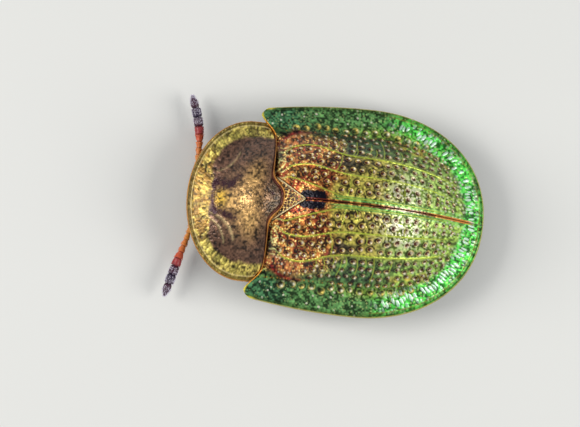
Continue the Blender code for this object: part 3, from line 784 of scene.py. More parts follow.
def wing_case_look(x, y, word):
    """(relief, colour, roughness) of the upper side of a wing case."""
    seed, tail_highlight_share, flank_painted_light = CASE_LOOKS[word]
    rng = np.random.default_rng(seed)
    lane = lane_at(x, y)
    pit_relief, *pits = pit_field(x, y, case_pits(rng), rng)
    in_pit, lip, halo, glint = pits
    ridges, crosses = case_ridges(x, y, rng)
    rim = rim_distance(x, y)
    base = y - case_base_y(x)
    wave = clouds(x, y, 0.35, seed) - 0.5
    patch = clouds(x, y, 0.16, seed + 10)
    fine = grain(x, y, seed + 1)

    def dots(size, number, amount):
        return specks(x, y, size, seed + number, amount)

    # Zones: the brim, the red base, the tail, and the dark flank of the dome
    brim = smooth((lane - 1.98 + 0.12 * wave) / 0.12)
    brim = np.maximum(brim, smooth((0.62 - rim + 0.15 * wave) / 0.12) * smooth((y - 1.4) / 0.8))
    front = smooth((-0.45 - y + 0.6 * wave) / 0.6) * (1.0 - smooth((lane - 1.62) / 0.30))
    rear = smooth((y - 0.4 + 0.5 * wave) / 0.9)
    side = smooth((lane - 1.22) / 0.25) * (1.0 - front)
    # Marks: the knob on the shoulder, the lines beside the seam, and the streaks of the brim
    callus = spot(x, y, (1.72, -1.86), (0.40, 0.17), 52)
    callus_edge = stroke(x, y, (1.72, -2.22), (2.02, -1.45), 0.07, -0.10)
    seam_lines = bell(x, 0.080, 0.016) + 0.8 * bell(x, 0.150, 0.016)
    seam_lines = seam_lines * smooth((y + 0.9) / 0.3) * (1.0 - 0.5 * rear)
    around = MEAN_RADIUS * np.arctan2(np.maximum(y, 0.0) / TAIL_Y, x / HALF_WIDTH)
    streaks, streak_number = cells(around / 0.105, rim / 0.24, 1.0, seed + 7)
    streaks = smooth((0.66 - streaks) / 0.25) * (streak_number > 0.25) * bell(rim, 0.36, 0.19)

    relief = pit_relief * (1.0 - 0.3 * brim) + 0.013 * fine
    relief += RIDGE_HEIGHT * ridges + CROSS_RIDGE_HEIGHT * crosses + 0.012 * seam_lines
    relief += 0.030 * bell(rim, 0.030, 0.025) - 0.022 * bell(rim, 0.09, 0.04)
    relief += 0.014 * bell(rim, 0.14, 0.03) + 0.07 * callus
    relief += 0.02 * streaks * brim * smooth((y - 0.4) / 0.7)

    # The ground colours of the disc
    # The flank is painted lighter on the left case and darker on the right, as the light falls on them
    flank = paint(SIDE_GREEN * flank_painted_light, (REAR_GREEN * flank_painted_light**0.4, 0.6 * rear))
    tint = paint(OLIVE, (COPPER, front), (REAR_GREEN, rear * (1.0 - side)), (flank, side))
    tint = tint * (1.0 - 0.22 * smooth((y - 1.9) / 0.4) * (1.0 - side))[..., None]
    dusk = smooth((clouds(x, y, 0.24, seed + 2) - 0.42) / 0.2) * bell(lane, 1.08, 0.32)
    strands = [stroke(x, y, start, end, STRAND_WIDTH, bow) for start, end, bow in BASE_STRANDS]
    tint = paint(
        tint,
        (TEAL, bell(lane, 1.86, 0.14) * (1.0 - rear) * (1.0 - front) * 0.55),
        (VIOLET, dusk * bell(y, -0.55, 0.8) * 0.9),
        (PIT_RED, front * smooth((patch - 0.42) / 0.20) * 0.70),
        (CALLUS_RED, front * dots(0.07, 12, 0.50) * 0.85),
        (LATTICE * 1.15, front * dots(0.07, 3, 0.46)),
        (TEAL * 0.5, smooth((0.39 + 0.2 * wave - base) / 0.12) * bell(lane, 1.15, 0.40) * 0.9),
        (PIT_RED, spot(x, y, (0.30, -1.30), (0.26, 0.40)) * (0.1 + 0.9 * patch)),
        (TEAL, (1.0 - front) * dots(0.08, 13, 0.25) * (0.55 - 0.40 * rear)),
        (RIM_ORANGE, rear * bell(lane, 1.84, 0.12) * smooth((patch - 0.35) / 0.3) * 0.45),
        *((STRAND, strand * 0.7) for strand in strands),
        (SEAM_GREEN, smooth((0.20 - x) / 0.05) * smooth((y + 0.75) / 0.4) * 0.35),
        (CALLUS, callus * 0.65),
        (CALLUS_RED, callus_edge * 0.9),
    )

    # Grain, pits with their painted highlights and shade, the painted highlight and white painted
    # sparkles over the tail, ridges and the dark blotch
    # A painted highlight over the tail, and white dots there that are painted sparkles
    tail_highlight = spot(x, y, (0.50, 1.18), (0.48, 0.56)) * tail_highlight_share
    white = dots(0.10, 5, 0.6) * np.maximum(tail_highlight, 0.42 * smooth((y - 1.4) / 0.8))
    blotch = 0.26 * smooth((y + 1.76) / 0.24) * smooth((-0.88 - y) / 0.12) + 0.06 * fine
    tint = paint(
        lit(tint, 1.1 + 1.7 * fine, 0.08 + 0.30 * rear, 2.8),
        (CALLUS_RED, callus * dots(0.11, 14, 0.30) * 0.8),
        # White specks on the callus are painted highlights
        (GLINT, callus * dots(0.09, 4, 0.35) * 0.75),
        # The pits: dark halos deepened as painted shade away from their painted highlights, dark
        # floors, and gold lips painted lit toward the highlights
        (PIT_DARK, halo * (1.0 - 0.25 * rear) * (1.0 - brim)),
        (PIT_RED, in_pit),
        (PIT_DARK, in_pit * (1.0 - glint) * (0.72 - 0.20 * front + 0.10 * side)),
        (PIT_RING, lip * (1.0 - 0.40 * side)),
        # Painted highlights: the glints in the pits, the sparkles and sheen over the tail, and lips
        # lit white inside that highlight
        (GLINT, glint * 0.95),
        (GLINT, np.maximum(white, 0.75 * tail_highlight * (fine > 0.05)) * (1.0 - in_pit)),
        (GLINT, lip * tail_highlight * 0.8),
        (paint(RIDGE, (STRAND, smooth((-1.95 - y) / 0.2))), np.maximum(0.9 * ridges, 0.65 * crosses)),
        (SEAM_GREEN * 1.2, seam_lines * 0.7),
        (BLOTCH, smooth((blotch - x) / 0.03) * (y < -0.85)),
    )

    # The brim, the rims and the seam, with a painted highlight on the seam over the tail
    tip = smooth((0.07 - np.minimum(base, rim)) / 0.03) * smooth((-2.50 - y) / 0.2)
    seam = paint(
        SEAM_BROWN,
        (SEAM_ORANGE, smooth((y - 1.6) / 1.0) + 0.7 * (fine > 0.25)),
        (PIT_DARK, smooth((0.022 - x) / 0.010) * (0.80 - 0.5 * rear)),
        # A painted highlight along the seam, where the highlight over the tail crosses it
        (GLINT, bell(y, 1.15, 0.40) * smooth((x - 0.016) / 0.014) * 0.55),
    )
    tint = paint(
        tint,
        (brim_tint(x, y, lane, wave, fine, pits, streaks, seed), brim),
        (RIM_ORANGE, dots(0.06, 8, 0.5) * bell(lane, 1.99, 0.03) * 0.7),
        (RIM_DARK * (1.0 + 0.6 * fine)[..., None], smooth((0.11 - rim) / 0.03) * 0.6),
        (RIM_GOLD, bell(rim, 0.125, 0.018) * 0.5 * smooth((y - 0.2) / 0.6)),
        (RIM_GOLD, smooth((0.035 - rim) / 0.02) * 0.85),
        (RIM_ORANGE, smooth((0.06 - base) / 0.03) * smooth((x - SHOULDER_LEAVES_X + 0.1) / 0.1)),
        (TIP_GOLD, tip * smooth((x - 2.15) / 0.15)),
        (seam, smooth((0.054 - x) / 0.016) * smooth((rim - 0.18) / 0.28) * 0.95),
    )
    return relief, tint, 0.25 + 0.08 * brim + 0.20 * np.maximum(in_pit, halo)


def edge_rounding(distance, radius):
    """How far up its full thickness a rounded edge is, at this distance from it."""
    inward = clamp(distance / radius)
    return np.sqrt(1.0 - (1.0 - inward) ** 2)


def wing_case(word):
    """A wing case, drawn as the left one: a finely drawn upper side and a plainer lower side."""
    rows = shares(CASE_ROWS, EDGE_STEPS, 6.0)
    columns = shares(CASE_COLUMNS, EDGE_STEPS, 2.7)
    ends = len(EDGE_STEPS)
    patches = []
    for step, upper in ((1, True), (UNDERSIDE_STEP, False)):
        some = [np.unique(np.r_[line[::step], line[:ends], line[-ends:]]) for line in (rows, columns)]
        x, y = case_grid(*some)
        rim = rim_distance(x, y)
        behind = y - case_base_y(x)
        edge = np.minimum(rim, behind)
        seam = x - inner_edge(y)
        edge[0], edge[-1], edge[:, -1], seam[:, 0] = 0.0, 0.0, 0.0, 0.0
        thickness = CASE_RIM_THICKNESS + (CASE_THICKNESS - CASE_RIM_THICKNESS) * smooth(rim / 0.9)
        half = thickness * steepness(case_height, x, y) / 2
        tuck = BASE_DROP * (1.0 - smooth(behind / 0.24)) * smooth((SHOULDER_LEAVES_X + 0.1 - x) / 0.15)
        middle = case_height(x, y) - half - tuck
        rounding = np.minimum(edge_rounding(edge, 0.03), edge_rounding(seam, 0.008))
        relief, tint, roughness = wing_case_look(x, y, word) if upper else (0.0, UNDER_GREEN, 0.4)
        z = middle + (half + relief if upper else -half) * rounding
        patches.append(grid_patch(x, y, z, tint, roughness, flip=not upper))
    return patches


# Neck shield

def shield_outline(count):
    """Points evenly spaced round the outline, starting at the left side and going back:
    half an ellipse in front, and behind a curve with square corners and a lobe."""
    angle = np.linspace(0.0, 2 * math.pi, 20001)
    across, along = np.cos(angle), np.sin(angle)
    x = SHIELD_HALF_WIDTH * across
    y = np.where(along > 0.0, shield_rear_y(x), SHIELD_MID_Y + (SHIELD_MID_Y - HEAD_END_Y) * along)
    length = np.concatenate([[0.0], np.cumsum(np.hypot(np.diff(x), np.diff(y)))])
    even = np.linspace(0.0, length[-1], count, endpoint=False)
    return np.interp(even, length, x), np.interp(even, length, y)


def shield_ahead(y):
    return np.maximum(0.0, (SHIELD_MID_Y - y) / (SHIELD_MID_Y - HEAD_END_Y))


def shield_share(x, y):
    """0 over the middle and 1 on the front and side rims."""
    return np.hypot(x / SHIELD_HALF_WIDTH, shield_ahead(y))


def shield_height(x, y):
    """The smooth outer surface of the neck shield, domed behind and flat in front."""
    rim = SHIELD_SIDE_Z + (SHIELD_FRONT_Z - SHIELD_SIDE_Z) * shield_ahead(y) ** 1.5
    brim = rim + SHIELD_BRIM_RISE * np.maximum(0.0, 1.0 - shield_share(x, y))
    ahead = np.maximum(0.0, (SHIELD_DOME_Y - y) / SHIELD_DOME_REACH)
    share = np.hypot(ahead, x / SHIELD_DOME_HALF_WIDTH)
    rise = SHIELD_DOME_RISE + SHIELD_BACK_SLOPE * np.maximum(0.0, y - SHIELD_DOME_Y)
    return soft_max(SHIELD_DOME_Z + rise * (1.0 - share**2), brim, SHIELD_BLEND)


def shield_look(x, y, rim, rear):
    """(relief, colour, roughness), with the distances to the outline and the rear edge."""
    side = np.abs(x)
    share = shield_share(x, y)
    fine = grain(x, y, SHIELD_SEED)
    wave = clouds(x, y, 0.22, SHIELD_SEED + 2) - 0.5
    inner = 0.56 + 0.20 * smooth(side / 1.4)
    band = smooth((share + 0.06 * wave - inner) / 0.05) * smooth((rear - 0.04) / 0.10)
    turn = np.arctan2(x, SHIELD_MID_Y + 0.45 - y)
    rays, ray_number = cells(turn / 0.045, share * 9.0, 1.0, SHIELD_SEED + 3)
    gaps = smooth((rays - 0.62) / 0.25)
    flank = smooth((side - 1.35) / 0.35)
    dots = specks(x, y, 0.060, SHIELD_SEED + 4, 0.5) * (1.0 - band)
    hollow = spot(x, y, (-0.12, -2.36), (0.09, 0.06)) * smooth(rear / 0.1)
    dark = sum(marks(stroke, x, y, DARK_STROKES)) + 0.8 * hollow
    folds = np.max(marks(stroke, x, y, FOLDS), axis=0)

    relief = 0.007 * fine - 0.010 * dots - 0.012 * gaps * band * (0.5 + 0.5 * flank)
    relief += 0.026 * bell(rim, 0.025, 0.02) - 0.020 * bell(rim, 0.08, 0.03)
    relief += 0.014 * bell(rim, 0.13, 0.02)
    relief += sum(marks(spot, x, y, SWELLINGS)) - 0.05 * spot(side, y, (0.62, -3.40), (0.16, 0.30), 20)
    relief += 0.03 * bell(rear, 0.03, 0.03) - 0.03 * bell(rear, 0.10, 0.03) + 0.02 * folds

    strip = paint(
        BAND_TAN,
        (BAND_OLIVE, smooth((np.abs(turn) - 0.55) / 0.3) * 0.8),
        (BAND_GOLD, (ray_number > 0.40) * (0.25 + 0.60 * bell(np.abs(turn), 0.75, 0.4) + 0.4 * flank)),
        (BAND_DARK, gaps * (0.15 + 0.50 * flank)),
        (BAND_DARK, specks(x, y, 0.08, SHIELD_SEED + 8, 0.35) * 0.45),
        (SHADE, (clouds(x, y, 0.14, SHIELD_SEED + 5) > 0.62) * 0.35),
    )
    tint = paint(
        BRONZE,
        # Gold spots, the largest also a painted highlight
        (GOLD, sum(marks(spot, x, y, GOLD_AND_HIGHLIGHT_SPOTS))),
        (SHIELD_OLIVE, sum(marks(spot, x, y, DULL_SPOTS)) * (0.38 + 0.7 * wave)),
        (YELLOW, spot(x, y, (0.08, -3.74), (0.24, 0.18)) * 0.9),
        (strip, band),
    )
    tint = paint(
        lit(tint, 1.0 + 1.1 * fine + 0.3 * wave, 0.12, 2.4),
        (PALE_FOLD, folds * 0.5),
        (EYE_SPOT, dark * (0.45 + 0.9 * clouds(x, y, 0.05, SHIELD_SEED + 6))),
        (SHADE, dots * 0.50),
        (BAND_DARK, smooth((0.13 - rim) / 0.03) * 0.75),
        (PALE_FOLD, bell(rim, 0.135, 0.016) * 0.7),
        (SHIELD_ORANGE, smooth((0.035 - rim) / 0.02) * 0.8),
        (SHIELD_RED, bell(rear, 0.095, 0.028) * 0.9),
        (SHIELD_ORANGE, smooth((0.070 - rear) / 0.02) * (0.75 + 0.5 * wave)),
    )
    return relief, tint, 0.28 + 0.06 * band


def neck_shield():
    """The shield drawn in rings about its middle, with a plainer lower side."""
    edge_x, edge_y = shield_outline(SHIELD_SPOKES)
    middle_y = SHIELD_DOME_Y - 0.35
    behind = (edge_y > -2.75) & (np.abs(edge_x) < 2.1)
    patches = []
    for count, upper in ((SHIELD_RINGS, True), (SHIELD_UNDER_RINGS, False)):
        ring = np.r_[np.linspace(0.0, 0.98, count), 0.988, 0.994, 0.998, 1.0][:, None]
        x = edge_x * ring
        y = middle_y + (edge_y - middle_y) * ring
        rim = (1.0 - ring) * np.hypot(edge_x, edge_y - middle_y)
        half = (0.08 + 0.12 * smooth(rim / 0.8)) * steepness(shield_height, x, y) / 2
        middle = shield_height(x, y) - half
        relief, tint, roughness = 0.0, UNDER_BROWN, 0.42
        if upper:
            rims = np.where(behind, FAR, rim), np.where(behind, rim, FAR)
            relief, tint, roughness = shield_look(x, y, *rims)
        z = middle + (half + relief if upper else -half) * edge_rounding(rim, 0.035)
        patches.append(grid_patch(x, y, z, tint, roughness, flip=upper, closed=True))
    return patches


def scutellum():
    """A small triangular plate between the wing cases, with a raised edge on each side."""
    along = shares(80, EDGE_STEPS, 0.7)[:, None]
    across = 2.0 * shares(70, EDGE_STEPS, 0.8) - 1.0
    front = shield_rear_y(0.5 * across) - 2 * BASE_OVERLAP
    y = front + (SCUTELLUM_REAR_Y - front) * along
    width = scutellum_half_width(y) - SCUTELLUM_GAP
    x = width * across
    edge = np.minimum(width - np.abs(x), np.minimum(y - front, SCUTELLUM_REAR_Y - y))
    rounding = edge_rounding(edge, 0.012)
    middle = case_height(x, y) - 0.06 - 0.6 * BASE_DROP * (1.0 - smooth((y - front) / 0.35))
    sides = bell(width - np.abs(x), 0.035, 0.022)
    net, number = cells(x, y, 0.085, 51)
    walls = smooth((net - 0.6) / 0.3)
    dark = (number > 0.55) * (1.0 - walls)
    tint = paint(SCUTELLUM_BROWN, (LATTICE, walls * 0.8), (PIT_DARK, dark * 0.8))
    tint = lit(tint, 1.0 + 1.5 * grain(x, y, 52), 0.1, 2.6)
    top = middle + (0.075 + 0.025 * sides + 0.016 * walls) * rounding
    return [
        grid_patch(x, y, top, paint(tint, (SCUTELLUM_CREAM, sides)), 0.3),
        grid_patch(x, y, middle - 0.10 * rounding, UNDER_BROWN, 0.3, flip=True),
    ]


# Round forms

def tube(path, radii, tint, roughness, sides=20, squash=1.0):
    """A length along a path, with its own radius at each point, closed at both ends."""
    path = np.pad(np.asarray(path, float), ((1, 1), (0, 0)), mode="edge")
    radii = np.pad(radii, 1)[:, None, None]
    ahead = np.pad(np.gradient(path[1:-1], axis=0), ((1, 1), (0, 0)), mode="edge")
    ahead /= np.linalg.norm(ahead, axis=1)[:, None]
    side = np.cross(UP, ahead)
    side /= np.linalg.norm(side, axis=1)[:, None]
    above = np.cross(ahead, side)
    angle = np.linspace(0.0, 2 * math.pi, sides, endpoint=False)
    ring = side[:, None] * np.cos(angle)[:, None] + above[:, None] * squash * np.sin(angle)[:, None]
    points = path[:, None] + radii * ring
    if np.ndim(tint) == 2:
        tint = np.concatenate([tint[:1], tint, tint[-1:]])[:, None]
    return grid_patch(*np.moveaxis(points, -1, 0), tint, roughness, closed=True)


def ball(centre, radii, tint, roughness, rows=24, columns=36, form=None):
    """An oval form. What form() returns for its directions is added to their radius."""
    up = np.linspace(-math.pi / 2, math.pi / 2, rows)[:, None]
    around = np.linspace(0.0, 2 * math.pi, columns, endpoint=False)
    level = np.cos(up)
    out = np.stack([level * np.cos(around), level * np.sin(around), np.sin(up) + 0 * around], -1)
    if form is not None:
        relief, tint = form(out)
        out = out * (1.0 + relief)[..., None]
    points = np.asarray(centre) + out * np.asarray(radii)
    return grid_patch(*np.moveaxis(points, -1, 0), tint, roughness, closed=True)


def curve(points, count):
    """Evenly spaced places on a smooth curve through the points."""
    points = np.asarray(points, float)
    before, after = 2 * points[0] - points[1], 2 * points[-1] - points[-2]
    knots = np.concatenate([[before], points, [after]])
    t = np.linspace(0.0, len(points) - 1 - 1e-9, count)
    k = t.astype(int)
    s = (t - k)[:, None]
    a, b, c, d = (knots[k + n] for n in range(4))
    bend, twist = 2 * a - 5 * b + 4 * c - d, 3 * b - a - 3 * c + d
    return 0.5 * (2 * b + (c - a) * s + bend * s**2 + twist * s**3)


# Trunk

def shell_underside(height, share, x, y):
    thickness = 0.32 + 0.18 * smooth((1.0 - share) / 0.35)
    return height(x, y) - (thickness + 0.28) * steepness(height, x, y)


def trunk_roof(x, y):
    """The highest that the trunk reaches, below the shells over it."""
    shield = shell_underside(shield_height, shield_share(x, y), x, y)
    case = shell_underside(case_height, brim_share(x, y), x, y)
    blend = smooth((y + 2.5) / 0.5)
    return np.minimum(shield * (1.0 - blend) + case * blend, TRUNK_TOP_Z)


def belly_edge_z(y):
    return BELLY_Z + BELLY_CURVE - TAIL_DROP * smooth((y - 0.8) / 1.5)


def trunk_half_width(y):
    """Narrower at the neck, and never wider than the room under the shells."""
    half = TRUNK_HALF_WIDTH - 0.35 * smooth((-2.0 - y) / 1.0)
    tries = np.linspace(0.1, TRUNK_HALF_WIDTH, 120)
    open_there = trunk_roof(tries, y[:, None]) > belly_edge_z(y)[:, None] + TRUNK_SIDE
    room = tries[np.maximum(np.cumprod(open_there, axis=1).sum(axis=1) - 1, 0)]
    return np.minimum(half, room)


def trunk():
    """One skin over the three lengths of the trunk, with the plates of the belly below."""
    y = TRUNK_Y[0] + (TRUNK_Y[1] - TRUNK_Y[0]) * shares(240, TRUNK_EDGE_STEPS, 5.2)
    half_width = trunk_half_width(y)
    padded = np.pad(half_width, 10, mode="edge")
    half_width = np.minimum(half_width, np.convolve(padded, np.ones(21) / 21, "valid"))
    half_width = (half_width * np.sqrt(1.0 - np.clip((y - 1.1) / 0.98, 0.0, 0.999) ** 2.5))[:, None]
    across = 2.0 * shares(110, TRUNK_EDGE_STEPS, 2.6) - 1.0
    x = half_width * across
    y = y[:, None] + 0.0 * across
    end = np.minimum(y - TRUNK_Y[0], TRUNK_Y[1] - y)
    rounding = edge_rounding(np.minimum(end, half_width - np.abs(x)), 0.22)
    groove = np.minimum(sum(bell(y + 0.03 * across**2, joint, 0.045) for joint in PLATE_JOINTS), 1.0)
    plate_edges = sum(bell(y, joint - 0.07, 0.03) for joint in PLATE_JOINTS[2:])
    net, number = cells(x, y, 0.09, 61)
    dots = smooth((0.45 - net) / 0.25) * (number > 0.3)
    sockets = sum(spot(np.abs(x), y, hip[:2], (0.30, 0.26)) for hip in HIPS)
    keel = spot(x, y, (0.0, -2.75), (0.14, 0.45)) + 0.5 * bell(x, 0.0, 0.10) * smooth((-0.3 - y) / 0.2)
    roof = trunk_roof(x, y) - 0.02
    floor = belly_edge_z(y) - BELLY_CURVE * (1.0 - np.abs(across) ** 3) + 0.07 * groove
    floor = floor + 0.012 * dots + 0.14 * sockets - 0.05 * keel * (1.0 - sockets)
    floor = floor + 0.03 * bell(x, 0.0, 0.02) * smooth((y + 1.6) / 0.1) * smooth((-0.4 - y) / 0.1)
    middle = (roof + floor) / 2
    tint = paint(
        BELLY_BROWN * (0.7 + 0.6 * clouds(x, y, 0.2, 62))[..., None],
        (BELLY_DARK, dots * 0.7),
        (BELLY_EDGE, bell(y, np.roll(y, 3, 0), 1.0) * smooth((np.abs(across) - 0.72) / 0.2)),
        (BELLY_EDGE, plate_edges * 0.8),
        (BELLY_DARK, groove * 0.8),
    )
    return [
        grid_patch(x, y, middle + (z - middle) * rounding, tint, 0.36, flip=under)
        for under, z in ((False, roof), (True, floor))
    ]


# Head and eyes

def skull_form(out):
    """Fine pits all over, a groove down the middle of the crown and two on the face."""
    x, y, z = np.moveaxis(out, -1, 0)
    net_round = cells(np.arctan2(x, -y) / 0.12, z / 0.12, 1.0, 71)[0]
    net_on_top = cells(x, y, 0.12, 72)[0]
    dots = smooth((0.45 - np.where(np.abs(z) > 0.6, net_on_top, net_round)) / 0.25)
    middle = bell(x, 0.0, 0.05) * smooth((z + 0.1) / 0.2)
    face = bell(np.abs(x) - 0.42 - 0.3 * z, 0.0, 0.05) * smooth((-y - 0.3) / 0.3)
    grooves = np.maximum(dots * 0.5, middle + face)
    tint = paint(HEAD_BROWN, (HEAD_DARK, grooves), (MOUTH_BROWN, smooth((-y - 0.6) / 0.3) * 0.5))
    return -0.015 * dots - 0.05 * middle - 0.05 * face, tint


def head():
    """A skull with its face plate, lip, jaws, and the two pairs of mouth feelers."""
    patches = [
        ball(HEAD_CENTRE, HEAD_RADII, None, 0.34, 110, 170, skull_form),
        ball(MOUTH, (0.29, 0.22, 0.19), MOUTH_BROWN, 0.35, 40, 60),
        ball(MOUTH + (0.0, -0.13, -0.07), (0.17, 0.10, 0.07), MOUTH_BROWN * 1.2, 0.3, 24, 36),
    ]
    t = np.linspace(0.0, 3.0, 24)
    radii = (0.024 + 0.012 * np.sin(t % 1.0 * math.pi)) * np.minimum(1.0, np.linspace(4.0, 0.6, 24))
    for side in (1, -1):
        jaw, socket = MOUTH + (side * 0.13, -0.12, -0.10), feeler_joints(side)[0] + (0.0, 0.10, -0.01)
        patches.append(ball(jaw, (0.09, 0.10, 0.075), HEAD_DARK, 0.25, 24, 32))
        patches.append(ball(socket, (0.13, 0.10, 0.12), HEAD_BROWN, 0.35, 24, 32))
        for reach, low in MOUTH_FEELERS:
            start = MOUTH + (side * (0.05 + reach * 0.6), -0.04, -0.10)
            bend = start + (side * 0.06, -0.08, -0.03)
            tip = bend + (side * -0.02, -0.09, 0.13 - low)
            path = curve([start, (start + bend) / 2 + (0, 0, -0.01), bend, tip], 24)
            patches.append(tube(path, radii, MOUTH_BROWN, 0.4, 12))
    return patches


def eye(side):
    """An oval eye of many small raised facets."""
    turn = math.pi * (3.0 - math.sqrt(5.0))
    k = np.arange(FACETS)
    level = 1.0 - 2.0 * (k + 0.5) / FACETS
    ring = np.sqrt(1.0 - level**2)
    middles = np.stack([ring * np.cos(k * turn), level, ring * np.sin(k * turn)], -1)

    def form(out):
        nearest = np.sort(-(out.reshape(-1, 3) @ middles.T), axis=1)[:, :2]
        gap = (nearest[:, 1] - nearest[:, 0]).reshape(out.shape[:2])
        raised = smooth(gap / 0.004)
        return 0.022 * raised - 0.022, paint(EYE_BLACK, (FACET_BROWN, raised * 0.6))

    centre = (HEAD_CENTRE + EYE_OFFSET) * (side, 1.0, 1.0)
    return [ball(centre, EYE_RADII, None, 0.12, 130, 200, form)]


# Feelers

def feeler_joints(side):
    """The places where one joint meets the next, from the head outwards."""
    places = [FEELER_ROOT * (side, 1.0, 1.0)]
    for length, turn in zip(FEELER_JOINTS, FEELER_TURNS[side]):
        angle = math.radians(turn)
        places.append(places[-1] + np.array((side * math.sin(angle), -math.cos(angle), 0.0)) * length)
    return places


def feeler(side):
    """(patches, hair roots) of eleven joints, each narrow at its root and rounded beyond."""
    rng = np.random.default_rng(81 + side)
    places = feeler_joints(side)
    last = len(FEELER_JOINTS) - 1
    t = np.linspace(0.0, 1.0, FEELER_STEPS)
    cap = 0.55 + 0.45 * np.sqrt(1.0 - clamp((t - 0.88) / 0.13) ** 2)
    point = 1.0 - clamp((t - 0.25) / 0.75) ** 2.2
    point = np.sqrt(point) * (0.4 + 0.6 * point)
    patches, roots = [], []
    for k, colour in enumerate(FEELER_COLOURS):
        start, along = places[k], places[k + 1] - places[k]
        neck = 0.68 + 0.34 * t if k < CLUB_JOINT else 0.80 + 0.20 * smooth(t / 0.2)
        radii = FEELER_RADII[k] * neck * (cap if k < last else point)
        tint = paint(
            colour,
            (colour * 0.3, 1.0 - smooth(t / 0.18)),
            (FEELER_COLOURS[min(k + 1, last)], smooth((t - 0.6) / 0.4) * 0.5),
        )
        patches.append(tube(start + along * t[:, None], radii, tint, 0.38, 28))
        ahead = unit(along)
        aside = np.cross(UP, ahead)
        count = int((SPARSE_HAIRS if k < DENSE_JOINT else DENSE_HAIRS) * FEELER_JOINTS[k] / 0.2)
        length = 0.060 if k < CLUB_JOINT else 0.050
        pale = FROST if k >= FROSTED_JOINT else colour * 1.4
        for s, turn in zip(rng.uniform(0.2, 0.95, count), rng.uniform(0, 2 * math.pi, count)):
            out = aside * math.cos(turn) + UP * math.sin(turn)
            place = start + along * s + out * np.interp(s, t, radii) * 0.96
            skin = ((k + s) / (last + 1), turn / (2 * math.pi))
            roots.append((place, ahead * 1.1 + out * 0.7, length, pale, skin))
    return patches, roots


# Legs

def foot_joint(centre, ahead, length, width, height, notch):
    """A heart-shaped joint of the foot, narrow at its root and cleft at its far end."""
    aside = np.cross(UP, ahead)

    def form(out):
        along, across, above = np.moveaxis(out, -1, 0)
        cleft = notch * bell(across, 0.0, 0.28) * smooth((along - 0.1) / 0.5)
        waist = 0.42 * smooth((-along - 0.1) / 0.8) * np.abs(across)
        return -cleft - waist, paint(LEG_COLOUR, (PAD_PALE, smooth((-above - 0.2) / 0.3)))

    points, faces, look = ball((0, 0, 0), (length / 2, width / 2, height / 2), None, 0.5, 28, 44, form)
    return centre + points @ np.stack([ahead, aside, UP]), faces, look


def rounded_end(t, start, depth):
    """Falls off towards the end of a length, as its radius does."""
    return np.sqrt(1.0 - clamp((t - start) / (1.0 - start)) ** 2 * depth)


def leg(joints, number):
    """(patches, claws, hair roots) of the left leg with these joints."""
    rng = np.random.default_rng(90 + number)
    hip, knee, ankle, toe = (np.array(joint) for joint in joints)
    ground = ankle * LEVEL
    ahead = unit((toe - ankle) * LEVEL)
    aside = np.array((-ahead[1], ahead[0], 0.0))
    t = np.linspace(0.0, 1.0, LIMB_STEPS)

    def on_foot(up, along, across=0.0):
        return ground + ahead * along + aside * across + UP * up

    thigh_points = hip + (knee - hip) * 0.15, (hip + knee) / 2 + UP * 0.03, knee + UP * 0.02
    thigh = curve(thigh_points, LIMB_STEPS)
    thigh_radii = 0.10 + 0.075 * np.sin(math.pi * clamp(t * 1.05)) ** 0.8
    thigh_radii = thigh_radii * rounded_end(t, 0.92, 0.9)
    foot_start = ground + UP * 0.13
    shin = curve([knee, (knee + foot_start) / 2 + UP * 0.04, foot_start], LIMB_STEPS)
    shin_radii = (0.062 + 0.05 * smooth(t)) * rounded_end(t, 0.94, 0.8)
    stem = curve([on_foot(*point) for point in STEM], 20)
    stem_radii = np.interp(np.linspace(0, 1, 20), (0, 0.8, 1), (0.03, 0.05, 0.035))
    patches = [
        ball(hip + UP * 0.08, (0.26, 0.24, 0.24), LEG_DARK, 0.35, 32, 44),
        ball(hip + (knee - hip) * 0.22, (0.16, 0.16, 0.15), LEG_DARK * 1.3, 0.35, 24, 32),
        tube(thigh, thigh_radii, paint(LEG_COLOUR, (LEG_DARK, 1.0 - smooth(t / 0.5))), 0.36, 30, 0.9),
        ball(knee + UP * 0.01, (0.115, 0.115, 0.11), LEG_DARK * 1.4, 0.35),
        tube(shin, shin_radii, LEG_COLOUR, 0.38, 24),
    ]
    for along, length, width, height, notch in FOOT_JOINTS:
        patches.append(foot_joint(on_foot(height / 2, along), ahead, length, width, height, notch))
    patches.append(tube(stem, stem_radii, LEG_COLOUR, 0.38, 18))
    claws = []
    for hand in (1, -1):
        path = curve([on_foot(up, along, hand * across) for up, along, across in CLAW], 18)
        claws.append(tube(path, np.linspace(0.024, 0.004, 18), CLAW_COLOUR, 0.25, 12))
    roots = []
    for path, radii, count, half in ((thigh, thigh_radii, 90, 0.0), (shin, shin_radii, 160, 0.5)):
        for s, turn in zip(rng.uniform(0.15, 0.97, count), rng.uniform(0, 2 * math.pi, count)):
            k = int(s * (LIMB_STEPS - 2))
            direction = unit(path[k + 1] - path[k])
            side = unit(np.cross(UP, direction))
            out = side * math.cos(turn) + np.cross(direction, side) * math.sin(turn)
            place = path[k] + out * radii[k] * 0.95
            skin = (s / 2 + half, turn / (2 * math.pi))
            roots.append((place, direction + out * 0.8, 0.065, PAD_PALE, skin))
    return patches, claws, roots


def hairs(roots):
    """A closed, bent spindle for each root, with its place on the unwrapped skin."""
    points, faces, look, unwrap = [], [], [], []
    net = lattice(len(HAIR_FORM), 3, closed=True)
    for place, lean, length, tint, skin in roots:
        lean = unit(lean)
        side = unit(np.cross(lean, (0.31, 0.59, 0.74)))
        above = np.cross(side, lean)
        faces.append(net + len(points))
        for step, (along, radius) in enumerate(HAIR_FORM):
            bent = place + lean * along * length - above * 0.15 * length * along**2
            for corner in range(3):
                angle = corner * 2 * math.pi / 3
                off = (side * math.cos(angle) + above * math.sin(angle)) * radius * HAIR_THICKNESS
                points.append(bent + off)
                look.append((*tint, 0.4))
                unwrap.append((skin[0] + (corner - 1) * 0.0015, skin[1] + (step - 1.5) * 0.001))
    return (np.array(points), np.concatenate(faces), np.array(look)), np.array(unwrap)


# Floor, lights and camera

